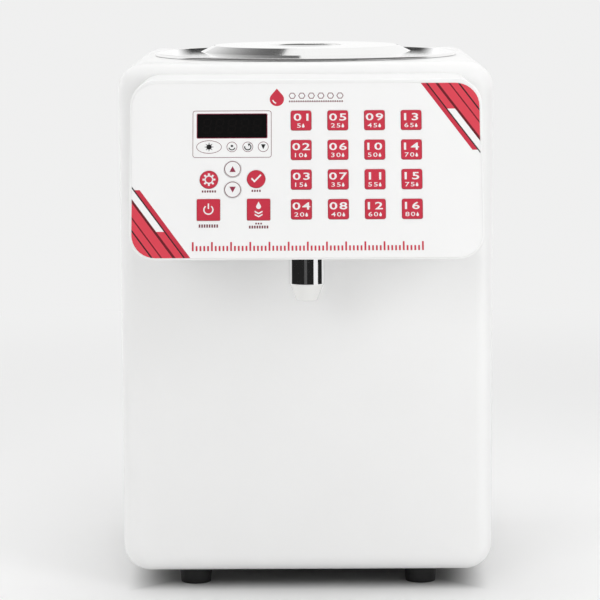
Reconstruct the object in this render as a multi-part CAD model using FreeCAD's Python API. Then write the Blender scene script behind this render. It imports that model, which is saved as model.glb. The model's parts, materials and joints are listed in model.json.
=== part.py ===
import FreeCAD, Part
import math
import os

# Countertop syrup dispenser: a steel cabinet with a lift-out syrup tank in its top, a gear pump
# below the tank, and a head with a key panel and a nozzle that overhangs the cup place.
# Millimetres. +X is to the right of the person at the panel, -Y is towards them, +Z is up, and
# the table is z = 0. The origin is midway between the frontmost and the rearmost point.

V = FreeCAD.Vector
X, Y, Z = V(1, 0, 0), V(0, 1, 0), V(0, 0, 1)

# ---------------------------------------------------------------- driving dimensions

# Cabinet
body_width = 275.0
body_height = 379.0
body_depth = 262.0
body_corner_r = 20.0
body_front_r = 13.0
sheet = 1.5
cover_sheet = 1.2
cover_gap = 0.4
cover_ledge = 12.0
ledge_corner_r = 6.5
cover_screw_shares = (0, 0.25, 0.5, 0.75, 1)
base_sheet = 1.5
base_margin = 1.0
base_corner_r = 6.5

# Feet
foot_height = 14.0
foot_top_r = 12.65
foot_bottom_r = 11.15
foot_spacing = 170.0
foot_inset = 35.0
foot_floor = 5.0
foot_recess_gap = 1.2

# Head
head_width = 247.0
head_drop = 8.3
head_height = 122.5
head_reach = 115.0
head_corner_r = 18.0
head_edge_r = 1.2
head_wall = 2.5
panel_lean = 20.0
head_boss_r = 6.5
head_boss_length = 20.0
head_boss_side = 15.5
head_boss_sink = 0.5
head_window_width = 180.0
head_window_low = 8.0
head_window_corner_r = 8.0
head_window_height = 78.0

# Key panel, measured along the leaning face from its centre
overlay_side_margin = 1.6
overlay_top_margin = 2.85
overlay_low_margin = 1.35
overlay_corner_step = 1.0
overlay_gap = 0.1
overlay_sheet = 0.5
key_gap = 0.25
fitting_gap = 0.25
key_proud = 0.4
key_edge_r = 0.2
key_flange = 1.0
key_flange_sheet = 1.0
key_rest_gap = 0.05
key_travel = 0.5
key_stop_gap = 0.2
plunger_r = 2.0
dose_key_size = 14.25
dose_key_corner_r = 1.4
dose_first_across = -3.5
dose_first_up = 35.1
dose_pitch_across = 25.7
dose_pitch_down = 21.4
dose_columns = 4
dose_rows = 4
arrow_key_r = 5.9
arrow_across = -51.4
arrow_middle_up = -7.4
arrow_gap = 3.0
disc_key_r = 6.35
set_key_place = (-67.9, -7.5)
save_key_place = (-35.0, -7.2)
square_key_width = 16.0
square_key_height = 15.3
square_key_corner_r = 0.6
power_key_place = (-68.2, -29.2)
pour_key_place = (-33.3, -29.1)
window_width = 48.7
window_height = 17.2
window_corner_r = 0.8
window_place = (-51.8, 31.35)
window_flange = 2.0
window_sink = 0.1
module_margin = 1.5
module_corner_r = 0.5

# Control board behind the panel
board_depth = 12.5
board_sheet = 1.6
board_width = 200.0
board_height = 100.0
board_corner_r = 3.0
board_hole_inset = (5.0, 6.0)
board_boss_r = 3.5
switch_size = 6.0
switch_body = 4.0
switch_button = 0.8
switch_button_r = 1.7
switch_corner_r = 0.4
header_place = (-80.0, -10.0)
header_width = 20.0
header_height = 9.0
header_depth = 10.0
header_corner_r = 0.8

# Machine screws
screw_r = 2.0
screw_length = 8.0
screw_head_r = 4.0
screw_head = 2.4
screw_head_edge_r = 1.3
screw_recess = 4.4
screw_recess_width = 0.9
screw_recess_depth = 1.3
screw_gap = 0.1

# Syrup tank and its lid
tank_r = 100.0
room_below_tank = 122.3
tank_sheet = 0.8
tank_bend_r = 14.0
tank_flange = 13.0
tank_hole_gap = 1.0
gasket_sheet = 0.5
gasket_inset = 2.0
lid_gap = 0.2
lid_sheet = 0.8
lid_overhang = 3.0
lid_hem_gap = 0.3
lid_step_low_r = 81.0
lid_step_high_r = 71.0
lid_step = 5.5
lid_rim_rise = 0.7
lid_dish_top_r = 28.0
lid_dish_floor_r = 24.0
lid_dish_depth = 8.0
lid_bend_r = 1.6
lid_lip_gap = 1.2
lid_lip_depth = 8.0
grip_width = 10.0
grip_thick = 3.6
grip_end_gap = 1.0
grip_post_r = 2.5
grip_post_across = 34.0
grip_drop = 0.5
grip_edge_r = 1.0
heater_height = 60.0
heater_sheet = 2.0
heater_low = 42.0
heater_slit = 10.0
skin_gap = 0.1
sensor_width = 12.0
sensor_height = 18.0
sensor_thick = 7.0
sensor_up = 120.0
sensor_edge_r = 2.0

# Hoses and their ends
hose_r = 6.5
hose_bore_r = 4.5
barb_r = 4.4
barb_stem_r = 4.0
barb_bore_r = 2.75
barb_length = 16.0
barb_ridges = 3
hose_end_gap = 0.3
hose_bend_r = 32.0
clamp_gap = 0.1
clamp_sheet = 1.0
clamp_width = 8.0
clamp_lug = 6.0
clamp_lug_edge_r = 1.0
outlet_flange_r = 13.0
outlet_flange = 3.0

# Gear pump: its two shafts lie along X
gear_teeth = 14
gear_module = 1.75
gear_pressure_deg = 25.0
gear_backlash = 0.12
gear_width = 18.0
gear_dedendum = 1.25
gear_tip_gap = 0.08
gear_side_gap = 0.05
flank_steps = 5
shaft_r = 5.0
shaft_gap = 0.05
shaft_end_gap = 1.0
drive_shaft_reach = 20.0
pump_rise = 31.0
pump_side_wall = 9.75
pump_top_wall = 8.0
pump_floor_wall = 12.0
pump_wall = 7.0
pump_cover = 8.0
pump_edge_r = 3.0
pump_port_below_gears = 6.0
pump_screw_inset = 5.0
pump_screw_top_inset = 6.0
pump_screw_below = 10.0
pump_screw_r = 2.5
pump_screw_head_r = 4.25
pump_screw_head = 5.0
pump_screw_socket = 4.0
bracket_sheet = 2.5
bracket_margin = 4.0
bracket_above_axis = 28.0
bracket_foot = 40.0
bracket_hole_inset = 8.0
motor_r = 25.0
motor_length = 74.0
motor_pilot_r = 11.0
motor_cap_length = 12.0
motor_cap_r = 22.0
motor_tag = (8.0, 6.0, 0.8)
motor_tag_across = 12.0

# Nozzle
nozzle_reach = 60.0
nozzle_r = 13.0
nozzle_length = 23.7
nozzle_stem_r = 8.0
nozzle_stem = 13.0
nozzle_edge_r = 0.8
tip_length = 11.5
tip_end_r = 7.5
tip_bore_r = 4.0
tip_spigot = 6.0
tip_step = 0.8
chamber_r = 7.0
chamber_depth = 15.5
nut_flats = 24.0
nut_thick = 6.0
valve_gap = 0.1
valve_r = 5.9
valve_rim = 3.0
valve_nose_r = 2.0
valve_stem_gap = 0.05
valve_wing = 1.2
valve_wing_end = 7.5
spring_wire_r = 0.4
spring_r = 4.9
spring_turns = 4

# Power supply, inlet, switch and wiring
supply_width = 60.0
supply_length = 100.0
supply_height = 38.0
supply_side = 1.5
supply_behind_front = 120.0
supply_edge_r = 1.5
supply_hole_inset = 8.0
supply_vents = 9
supply_vent_pitch = 9.0
supply_vent_width = 3.0
supply_vent_depth = 1.2
terminal_depth = 14.0
terminal_height = 16.0
terminals = 5
terminal_pitch = 10.0
terminal_block = (8.0, 10.0, 8.0)
terminal_first = 6.0
inlet_side = 52.5
inlet_rise = 38.0
inlet_width = 31.5
inlet_height = 25.0
inlet_bezel = 3.0
inlet_corner_r = 3.0
inlet_body_width = 27.0
inlet_body_height = 19.5
inlet_body_depth = 22.0
inlet_body_corner_r = 0.8
cutout_corner_r = 1.0
inlet_socket_width = 24.4
inlet_socket_height = 16.6
inlet_socket_depth = 16.0
inlet_chamfer = 4.0
inlet_blade = (2.0, 4.0, 12.0)
inlet_blade_across = 7.0
inlet_blade_up = 2.0
inlet_latch = 1.2
inlet_latch_height = 8.0
switch_above_inlet = 38.0
rocker_frame_width = 15.0
rocker_frame_height = 21.0
rocker_frame_bezel = 2.0
rocker_frame_body = (12.8, 19.0, 14.0)
rocker_frame_corner_r = 1.2
rocker_body_corner_r = 0.6
rocker_mouth_corner_r = 0.4
rocker_mouth_width = 10.6
rocker_mouth_height = 16.8
rocker_width = 10.0
rocker_r = 8.1
rocker_dip = 3.6
rocker_back = 2.0
rocker_swing = 8.0
rocker_set_back = 4.5
rocker_pin_r = 1.25
rocker_pin = 1.2
rocker_well = 10.0
vent_slots = 9
vent_slot_length = 70.0
vent_slot_width = 3.2
vent_pitch = 9.0
vent_across = (-55.0, 55.0)
vent_low_rise = 121.0
vent_high_drop = 123.0
harness_r = 3.0
harness_bend_r = 22.0
harness_front_gap = 20.0
harness_up = 23.0

# ---------------------------------------------------------------- places worked out from them

supply_left = body_corner_r + base_margin + supply_side - body_width / 2
overall_depth = head_reach + body_depth + inlet_bezel
front_y = head_reach - overall_depth / 2
rear_y = front_y + body_depth
supply_front = front_y + supply_behind_front
low_z = foot_height
high_z = low_z + body_height
floor_z = low_z + sheet + base_sheet
inlet_place = (inlet_side - body_width / 2, low_z + inlet_rise)
switch_place = (inlet_place[0], inlet_place[1] + switch_above_inlet)
vent_low = (low_z + vent_low_rise, high_z - vent_high_drop)

tank_y = front_y + body_depth / 2
tank_flange_r = tank_r + tank_flange
lid_r = tank_flange_r + lid_overhang
flange_z = high_z + gasket_sheet
lid_z = flange_z + tank_sheet + lid_gap
lid_top_z = lid_z + lid_sheet
tank_floor_z = floor_z + room_below_tank
tank_depth = flange_z + tank_sheet - tank_floor_z

head_low_z = high_z - head_drop - head_height
head_high_z = high_z - head_drop
lean = math.radians(panel_lean)
sharp_edge = head_edge_r / math.tan((math.pi / 2 - lean) / 2) - head_edge_r
head_front_y = front_y - head_reach - sharp_edge
face_centre = V(0, head_front_y + head_height / 2 * math.tan(lean), head_low_z + head_height / 2)
face_length = head_height / math.cos(lean)
overlay_width = head_width - 2 * overlay_side_margin
overlay_height = face_length - overlay_top_margin - overlay_low_margin
overlay_drop = (overlay_top_margin - overlay_low_margin) / 2
overlay_corner_r = head_corner_r - overlay_corner_step
panel = FreeCAD.Placement(face_centre, FreeCAD.Rotation(X, 90 - panel_lean))
board_w = -head_wall - key_rest_gap - board_depth

pump_z = floor_z + pump_rise
gear_pitch_r = gear_module * gear_teeth / 2
gear_tip_r = gear_pitch_r + gear_module
gear_root_r = gear_pitch_r - gear_dedendum * gear_module
pump_half_width = gear_pitch_r + gear_tip_r + pump_side_wall
pump_above = gear_tip_r + pump_top_wall
pump_below = gear_tip_r + pump_floor_wall
pump_port_drop = gear_tip_r + pump_port_below_gears
bracket_half_width = pump_half_width + bracket_margin
pocket_half = gear_width / 2 + gear_side_gap
bracket_x = pocket_half + pump_wall
motor_x = bracket_x + bracket_sheet
drive_y = tank_y + gear_pitch_r
idler_y = tank_y - gear_pitch_r

nozzle_y = front_y - nozzle_reach
nozzle_low_z = head_low_z - nozzle_length
tip_low_z = nozzle_low_z - tip_length
nozzle_barb_z = head_low_z + nozzle_stem
seat_z = nozzle_low_z + chamber_depth
spring_low_z = nozzle_low_z + tip_spigot
valve_low_z = seat_z + chamber_r - valve_r - valve_gap * math.sqrt(2) - valve_rim

# ---------------------------------------------------------------- helpers


def box(x0, x1, y0, y1, z0, z1):
    return Part.makeBox(x1 - x0, y1 - y0, z1 - z0, V(x0, y0, z0))


def rod(radius, start, axis, length):
    return Part.makeCylinder(radius, length, start, axis)


def edges_along(shape, axis):
    """Straight edges that run parallel to an axis."""
    straight = [edge for edge in shape.Edges if isinstance(edge.Curve, Part.Line)]
    return [edge for edge in straight if abs(edge.Curve.Direction.dot(axis)) > 0.999]


def tablet(width, height, corner_r, w0, w1):
    """A rounded rectangle, or a disc where the corners meet, between two depths of a face."""
    if 2 * corner_r >= min(width, height):
        return rod(width / 2, V(0, 0, w0), Z, w1 - w0)
    block = box(-width / 2, width / 2, -height / 2, height / 2, w0, w1)
    return block.makeFillet(corner_r, edges_along(block, Z))


def moved(shape, place):
    shape = shape.copy()
    shape.translate(place)
    return shape


def on_panel(shape):
    """From the panel's own frame (across, up, outwards) to the object's frame."""
    shape = shape.copy()
    shape.Placement = panel.multiply(shape.Placement)
    return shape


def on_rear(shape, place):
    """From a drawing seen from behind (across, up, outwards) to the rear cover's outer face."""
    shape = shape.copy()
    turn = FreeCAD.Rotation(Z, 180).multiply(FreeCAD.Rotation(X, 90))
    shape.Placement = FreeCAD.Placement(V(place[0], rear_y, place[1]), turn).multiply(shape.Placement)
    return shape


def turned(points, centre=V(0, 0, 0)):
    """A closed outline of (radius, height) points spun about a vertical axis."""
    corners = [V(radius, 0, height) for radius, height in points]
    face = Part.Face(Part.makePolygon(corners + corners[:1]))
    return moved(face.revolve(V(0, 0, 0), Z, 360), centre)


def hexagon(flats, height):
    """A six-sided prism of a size across flats."""
    corner_r = flats / math.sqrt(3)
    corners = [V(*polar(corner_r, math.radians(60 * count)), 0) for count in range(7)]
    return Part.Face(Part.makePolygon(corners)).extrude(V(0, 0, height))


def polar(radius, angle):
    return radius * math.cos(angle), radius * math.sin(angle)


def rounded_path(points, bend_r):
    """Straight runs through the points, joined by tangent arcs of one radius."""
    edges = []
    start = points[0]
    for before, corner, after in zip(points, points[1:], points[2:]):
        to_before = (before - corner).normalize()
        to_after = (after - corner).normalize()
        half = to_before.getAngle(to_after) / 2
        reach = bend_r / math.tan(half)
        inward = (to_before + to_after).normalize()
        middle = corner + inward * (bend_r / math.sin(half) - bend_r)
        arc_start = corner + to_before * reach
        arc_end = corner + to_after * reach
        edges.append(Part.LineSegment(start, arc_start).toShape())
        edges.append(Part.Arc(arc_start, middle, arc_end).toShape())
        start = arc_end
    edges.append(Part.LineSegment(start, points[-1]).toShape())
    return Part.Wire(edges)


def pipe(path, radius):
    start = path.Edges[0]
    direction = start.tangentAt(start.FirstParameter)
    ring = Part.Wire(Part.makeCircle(radius, start.valueAt(start.FirstParameter), direction))
    return path.makePipeShell([ring], True, False)


def machine_screw(seat, direction):
    """A pan-head screw whose head rests at the seat and whose thread runs along the direction."""
    head = rod(screw_head_r, V(0, 0, -screw_head), Z, screw_head)
    rim = [edge for edge in head.Edges if edge.BoundBox.ZMax < -screw_head / 2]
    head = head.makeFillet(screw_head_edge_r, rim)
    slot = box(-screw_recess / 2, screw_recess / 2, -screw_recess_width / 2, screw_recess_width / 2,
               -screw_head, screw_recess_depth - screw_head)
    cross = slot.copy()
    cross.rotate(V(0, 0, 0), Z, 90)
    screw = head.fuse(rod(screw_r, V(0, 0, 0), Z, screw_length)).cut(slot.fuse(cross))
    screw.Placement = FreeCAD.Placement(seat, FreeCAD.Rotation(Z, direction))
    return screw


def screw_hole(seat, direction, depth):
    return rod(screw_r + screw_gap, seat - direction, direction, depth + 1)


def hose_barb(start, axis):
    """A ridged hose end that grows out of a fitting."""
    ridge = barb_length / (barb_ridges + 1)
    outline = [(0, 0), (barb_stem_r, 0), (barb_stem_r, ridge)]
    for count in range(1, barb_ridges + 1):
        outline += [(barb_r, ridge * count), (barb_stem_r, ridge * (count + 1))]
    barb = turned(outline + [(0, barb_length)])
    barb.Placement = FreeCAD.Placement(start, FreeCAD.Rotation(Z, axis))
    return barb


def hose(path):
    return pipe(path, hose_r).cut(pipe(path, hose_bore_r))


def hose_clamp(centre, axis, lug_direction):
    """A clamp band with the block of its tightening screw."""
    start = centre - axis * (clamp_width / 2)
    inner = hose_r + clamp_gap
    band = rod(inner + clamp_sheet, start, axis, clamp_width)
    lug = tablet(clamp_lug, clamp_width, clamp_lug_edge_r, 0, inner + clamp_sheet + clamp_lug / 2)
    side = axis.cross(lug_direction)
    lug.Placement = FreeCAD.Placement(centre, FreeCAD.Rotation(side, axis, lug_direction, "ZXY"))
    return band.fuse(lug).cut(rod(inner, start - axis * clamp_lug, axis, clamp_width + 2 * clamp_lug))


# ---------------------------------------------------------------- key layout

dose_keys = {}
for column in range(dose_columns):
    for row in range(dose_rows):
        number = column * dose_rows + row + 1
        dose_keys[f"dose_key_{number:02d}"] = (
            dose_first_across + column * dose_pitch_across,
            dose_first_up - row * dose_pitch_down,
            dose_key_size, dose_key_size, dose_key_corner_r)


def disc_key(place, radius):
    return (*place, 2 * radius, 2 * radius, radius)


def square_key(place):
    return (*place, square_key_width, square_key_height, square_key_corner_r)


arrow_step = arrow_key_r + arrow_gap / 2
keys = {
    **dose_keys,
    "set_key": disc_key(set_key_place, disc_key_r),
    "save_key": disc_key(save_key_place, disc_key_r),
    "up_key": disc_key((arrow_across, arrow_middle_up + arrow_step), arrow_key_r),
    "down_key": disc_key((arrow_across, arrow_middle_up - arrow_step), arrow_key_r),
    "power_key": square_key(power_key_place),
    "pour_key": square_key(pour_key_place),
}


def key_windows(w0, w1):
    """The holes that the keys and the display window pass through."""
    cuts = [moved(tablet(width + 2 * key_gap, height + 2 * key_gap, corner + key_gap, w0, w1),
                  V(across, up, 0))
            for across, up, width, height, corner in keys.values()]
    cuts.append(moved(tablet(window_width + 2 * key_gap, window_height + 2 * key_gap,
                             window_corner_r + key_gap, w0, w1), V(*window_place, 0)))
    return cuts


def key(across, up, width, height, corner):
    """A key cap with the flange that keeps it in its window, and the plunger behind it."""
    back = -head_wall - key_rest_gap
    cap = tablet(width, height, corner, back, key_proud)
    rim = [edge for edge in cap.Edges if edge.BoundBox.ZMin > 0]
    cap = cap.makeFillet(key_edge_r, rim)
    flange = tablet(width + 2 * key_flange, height + 2 * key_flange, corner + key_flange,
                    back - key_flange_sheet, back)
    tip = board_w + switch_body + switch_button + key_stop_gap + key_travel
    plunger = rod(plunger_r, V(0, 0, tip), Z, back - key_flange_sheet - tip)
    return on_panel(moved(cap.fuse([flange, plunger]).removeSplitter(), V(across, up, 0)))


# ---------------------------------------------------------------- cabinet


def rounded_case(inset, rear):
    """The cabinet's outer form, or the same form a sheet's thickness further in."""
    half = body_width / 2 - inset
    case = box(-half, half, front_y + inset, rear, low_z + inset, high_z - inset)
    case = case.makeFillet(body_corner_r - inset, edges_along(case, Y))
    rim = [edge for edge in case.Edges if edge.BoundBox.YMax < front_y + inset + 0.01]
    return case.makeFillet(body_front_r - inset, rim)


def rear_plate(margin, y0, y1):
    """A plate that fills the open back of the cabinet, a margin inside its wall."""
    inset = sheet + margin
    half = body_width / 2 - inset
    plate = box(-half, half, y0, y1, low_z + inset, high_z - inset)
    return plate.makeFillet(max(body_corner_r - inset, ledge_corner_r), edges_along(plate, Y))


cover_y = rear_y - cover_sheet
ledge_middle = sheet + cover_ledge / 2
half_ledge_x = body_width / 2 - ledge_middle
cover_screw_seats = []
for share in cover_screw_shares:
    height = low_z + body_corner_r + share * (body_height - 2 * body_corner_r)
    cover_screw_seats += [V(-half_ledge_x, rear_y, height), V(half_ledge_x, rear_y, height)]
for height in (low_z + ledge_middle, high_z - ledge_middle):
    cover_screw_seats.append(V(0, rear_y, height))

boss_inset = head_wall + head_boss_r - head_boss_sink
head_screw_seats = [V(side * (head_width / 2 - head_boss_side), front_y + sheet, height)
                    for side in (-1, 1)
                    for height in (head_low_z + boss_inset, head_high_z - boss_inset)]
foot_places = [V(side * foot_spacing / 2, y, 0)
               for side in (-1, 1)
               for y in (front_y + foot_inset, rear_y - foot_inset)]
supply_screw_seats = [V(x, y, low_z)
                      for x in (supply_left + supply_hole_inset,
                                supply_left + supply_width - supply_hole_inset)
                      for y in (supply_front + supply_hole_inset,
                                supply_front + supply_length - supply_hole_inset)]
bracket_screw_seats = [V(x, tank_y + side * (bracket_half_width - bracket_hole_inset), low_z)
                       for x in (motor_x + bracket_hole_inset,
                                 motor_x + bracket_foot - bracket_hole_inset)
                       for side in (-1, 1)]
board_screw_seats = [V(across * (board_width / 2 - board_hole_inset[0]),
                       up * (board_height / 2 - board_hole_inset[1]), board_w - board_sheet)
                     for across in (-1, 1) for up in (-1, 1)]
floor_holes = [screw_hole(seat, Z, sheet + base_sheet + bracket_sheet)
               for seat in supply_screw_seats + bracket_screw_seats
               + [V(place.x, place.y, low_z) for place in foot_places]]


def make_outer_shell():
    shell = rounded_case(0, rear_y).cut(rounded_case(sheet, rear_y + sheet))
    ledge = rear_plate(-sheet / 2, cover_y - sheet, cover_y)
    shell = shell.fuse(ledge.cut(rear_plate(cover_ledge, cover_y - 2 * sheet, rear_y)))
    tank_hole = rod(tank_r + tank_hole_gap, V(0, tank_y, high_z - 2 * sheet), Z, 3 * sheet)
    window_z = head_low_z + head_window_low
    window = box(-head_window_width / 2, head_window_width / 2, front_y - sheet,
                 front_y + 2 * sheet, window_z, window_z + head_window_height)
    window = window.makeFillet(head_window_corner_r, edges_along(window, Y))
    cuts = [tank_hole, window] + floor_holes
    cuts += [screw_hole(seat, -Y, sheet) for seat in head_screw_seats]
    cuts += [screw_hole(seat, -Y, cover_sheet + sheet) for seat in cover_screw_seats]
    return shell.cut(cuts).removeSplitter()


def vent_slot(across, up):
    slot = tablet(vent_slot_length, vent_slot_width, vent_slot_width / 2 - 0.01, -2 * cover_sheet, 1)
    return on_rear(slot, (across, up))


def make_rear_cover():
    cover = rear_plate(cover_gap, cover_y, rear_y)
    inlet = tablet(inlet_body_width + 2 * fitting_gap, inlet_body_height + 2 * fitting_gap,
                   cutout_corner_r, -2 * cover_sheet, cover_sheet)
    switch = tablet(rocker_frame_body[0] + 2 * fitting_gap, rocker_frame_body[1] + 2 * fitting_gap,
                    cutout_corner_r, -2 * cover_sheet, cover_sheet)
    cuts = [on_rear(inlet, inlet_place), on_rear(switch, switch_place)]
    cuts += [vent_slot(across, low + count * vent_pitch)
             for across in vent_across for low in vent_low for count in range(vent_slots)]
    cuts += [screw_hole(seat, -Y, cover_sheet) for seat in cover_screw_seats]
    return cover.cut(cuts)


def make_base_plate():
    half = body_width / 2 - body_corner_r - base_margin
    plate = box(-half, half, front_y + body_front_r + base_margin,
                cover_y - sheet - base_margin, low_z + sheet, floor_z)
    plate = plate.makeFillet(base_corner_r, edges_along(plate, Z))
    return plate.cut(floor_holes)


def make_rubber_feet():
    head_hole = screw_head_r + foot_recess_gap
    outline = [(0, 0), (foot_bottom_r, 0), (foot_top_r, foot_height), (0, foot_height)]
    foot = turned(outline)
    foot = foot.cut(rod(head_hole, V(0, 0, -1), Z, foot_height - foot_floor + 1))
    foot = foot.cut(rod(screw_r + screw_gap, V(0, 0, 0), Z, foot_height))
    return [moved(foot, place) for place in foot_places]


# ---------------------------------------------------------------- head and key panel


def head_form(inset, rear):
    """The head's outer form, or the same form a wall's thickness further in."""
    side_step = inset / math.cos(lean) + inset * math.tan(lean)
    top_step = inset / math.cos(lean) - inset * math.tan(lean)
    corners = [V(0, rear, head_low_z + inset),
               V(0, head_front_y + side_step, head_low_z + inset),
               V(0, head_front_y + head_height * math.tan(lean) + top_step, head_high_z - inset),
               V(0, rear, head_high_z - inset)]
    half = head_width / 2 - inset
    side = Part.Face(Part.makePolygon(corners + corners[:1]))
    side.translate(V(-half, 0, 0))
    form = side.extrude(V(2 * half, 0, 0))
    return form.makeFillet(head_corner_r - inset, edges_along(form, Y))


def make_head_shell():
    form = head_form(0, front_y + body_front_r)
    outward = V(0, -math.cos(lean), math.sin(lean))
    face = max(form.Faces, key=lambda f: f.CenterOfMass.dot(outward))
    form = form.makeFillet(head_edge_r, face.Edges)
    shell = form.cut(head_form(head_wall, rear_y))
    for seat in head_screw_seats:
        shell = shell.fuse(rod(head_boss_r, V(seat.x, front_y, seat.z), -Y, head_boss_length))
    boss_back = -head_wall - head_edge_r
    for seat in board_screw_seats:
        boss = rod(board_boss_r, V(seat.x, seat.y, board_w), Z, -boss_back / 2 - board_w)
        shell = shell.fuse(on_panel(boss))
    recess = tablet(overlay_width + 2 * overlay_gap, overlay_height + 2 * overlay_gap,
                    overlay_corner_r + overlay_gap, -overlay_sheet, head_wall)
    cuts = [rounded_case(0, rear_y), on_panel(moved(recess, V(0, -overlay_drop, 0)))]
    cuts += [on_panel(cut) for cut in key_windows(-2 * head_wall, 1)]
    cuts += [screw_hole(seat, -Y, sheet + screw_length) for seat in head_screw_seats]
    cuts += [on_panel(screw_hole(seat, Z, board_sheet + screw_length)) for seat in board_screw_seats]
    cuts.append(rod(nozzle_stem_r + screw_gap, V(0, nozzle_y, head_low_z - 1), Z, 2 * head_wall))
    return shell.cut(cuts).removeSplitter()


def make_control_overlay():
    sheet_form = moved(tablet(overlay_width, overlay_height, overlay_corner_r, -overlay_sheet, 0),
                       V(0, -overlay_drop, 0))
    return on_panel(sheet_form.cut(key_windows(-2 * overlay_sheet, 1)))


def make_display_window():
    back = -head_wall - key_rest_gap
    pane = tablet(window_width, window_height, window_corner_r, back, -window_sink)
    flange = tablet(window_width + 2 * window_flange, window_height + 2 * window_flange,
                    window_corner_r + window_flange, back - key_flange_sheet, back)
    return on_panel(moved(pane.fuse(flange).removeSplitter(), V(*window_place, 0)))


def make_display_module():
    front = -head_wall - key_rest_gap - key_flange_sheet - key_rest_gap
    module = tablet(window_width - module_margin, window_height - module_margin,
                    module_corner_r, board_w, front)
    return on_panel(moved(module, V(*window_place, 0)))


def make_control_board():
    board = tablet(board_width, board_height, board_corner_r, board_w - board_sheet, board_w)
    header = tablet(header_width, header_height, header_corner_r,
                    board_w - board_sheet - header_depth, board_w - board_sheet / 2)
    board = board.fuse(moved(header, V(*header_place, 0))).removeSplitter()
    return on_panel(board.cut([screw_hole(seat, Z, board_sheet) for seat in board_screw_seats]))


def make_tact_switches():
    body = tablet(switch_size, switch_size, switch_corner_r, board_w, board_w + switch_body)
    switch = body.fuse(rod(switch_button_r, V(0, 0, board_w + switch_body), Z, switch_button))
    return [on_panel(moved(switch, V(across, up, 0))) for across, up, *_ in keys.values()]


# ---------------------------------------------------------------- tank and lid


def make_syrup_tank():
    rim_z = flange_z + tank_sheet
    form = turned([(0, tank_floor_z), (tank_r, tank_floor_z), (tank_r, flange_z),
                   (tank_flange_r, flange_z), (tank_flange_r, rim_z), (0, rim_z)], V(0, tank_y, 0))
    bottom = [edge for edge in form.Edges if edge.BoundBox.ZMax < tank_floor_z + 0.01]
    form = form.makeFillet(tank_bend_r, bottom)
    hollow = rod(tank_r - tank_sheet, V(0, tank_y, tank_floor_z + tank_sheet), Z, tank_depth)
    low = [edge for edge in hollow.Edges if edge.BoundBox.ZMax < tank_floor_z + 2 * tank_sheet]
    hollow = hollow.makeFillet(tank_bend_r - tank_sheet, low)
    drain = rod(barb_stem_r + screw_gap, V(0, tank_y, tank_floor_z - 1), Z, 3 * tank_sheet)
    return form.cut([hollow, drain])


def make_tank_gasket():
    ring = rod(tank_flange_r - gasket_inset, V(0, tank_y, high_z), Z, gasket_sheet)
    return ring.cut(rod(tank_r + tank_hole_gap, V(0, tank_y, high_z - 1), Z, 2 + gasket_sheet))


def make_tank_heater():
    low = tank_floor_z + heater_low
    band = rod(tank_r + skin_gap + heater_sheet, V(0, tank_y, low), Z, heater_height)
    core = rod(tank_r + skin_gap, V(0, tank_y, low - 1), Z, heater_height + 2)
    slit = box(-heater_slit / 2, heater_slit / 2, tank_y, rear_y, low - 1, low + heater_height + 1)
    return band.cut([core, slit])


def make_temperature_sensor():
    low = tank_floor_z + sensor_up
    back = tank_y + tank_r + sensor_thick
    block = box(-sensor_width / 2, sensor_width / 2, tank_y, back, low, low + sensor_height)
    block = block.makeFillet(sensor_edge_r, [edge for edge in edges_along(block, Z)
                                   if edge.BoundBox.YMin > tank_y + 1])
    return block.cut(rod(tank_r + skin_gap, V(0, tank_y, low - 1), Z, sensor_height + 2))


def make_tank_outlet():
    low = tank_floor_z - outlet_flange
    flange = rod(outlet_flange_r, V(0, tank_y, low), Z, outlet_flange)
    stem = rod(barb_stem_r, V(0, tank_y, low), Z, outlet_flange + tank_sheet)
    fitting = flange.fuse([stem, hose_barb(V(0, tank_y, low), -Z)])
    bore = rod(barb_bore_r, V(0, tank_y, low - barb_length - 1), Z, tank_depth)
    return fitting.cut(bore).removeSplitter()


def lid_form(inset):
    """The solid under the lid's upper surface, or under its lower one, a sheet further in."""
    step_turn = math.atan2(lid_step - lid_rim_rise, lid_step_low_r - lid_step_high_r)
    dish_turn = math.atan2(lid_dish_depth, lid_dish_top_r - lid_dish_floor_r)
    step_shift = inset * math.tan(step_turn / 2)
    dish_shift = inset * math.tan(dish_turn / 2)
    rim_r = lid_r - inset
    rim_z = lid_top_z - inset
    crown_r = lid_step_high_r - step_shift
    mouth_r = lid_dish_top_r + dish_shift
    dish_z = rim_z + lid_step - lid_dish_depth
    form = turned([(0, high_z - lid_lip_depth), (rim_r, high_z - lid_lip_depth), (rim_r, rim_z),
                   (lid_step_low_r - step_shift, rim_z + lid_rim_rise), (crown_r, rim_z + lid_step),
                   (mouth_r, rim_z + lid_step), (lid_dish_floor_r + dish_shift, dish_z),
                   (0, dish_z)], V(0, tank_y, 0))
    bends = [edge for edge in form.Edges
             if isinstance(edge.Curve, Part.Circle) and edge.BoundBox.ZMin > high_z
             and any(abs(edge.Curve.Radius - radius) < 0.01 for radius in (rim_r, crown_r, mouth_r))]
    return form.makeFillet(lid_bend_r - inset, bends)


def make_tank_lid():
    lid = lid_form(0).cut(lid_form(lid_sheet))
    low = V(0, tank_y, high_z - 2 * lid_lip_depth)
    below_hem = rod(lid_r + 1, low, Z, 2 * lid_lip_depth + lid_hem_gap)
    lid = lid.cut(below_hem.cut(rod(lid_step_low_r, low, Z, 4 * lid_lip_depth)))
    lip_r = tank_r - tank_sheet - lid_lip_gap
    lip_rise = lid_rim_rise * (lid_r - lip_r) / (lid_r - lid_step_low_r)
    lip = rod(lip_r, V(0, tank_y, lid_z - lid_lip_depth), Z, lid_lip_depth + lip_rise + lid_sheet / 2)
    bore = rod(lip_r - lid_sheet, V(0, tank_y, lid_z - 2 * lid_lip_depth), Z, 4 * lid_lip_depth)
    return lid.fuse(lip.cut(bore)).removeSplitter()


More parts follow.
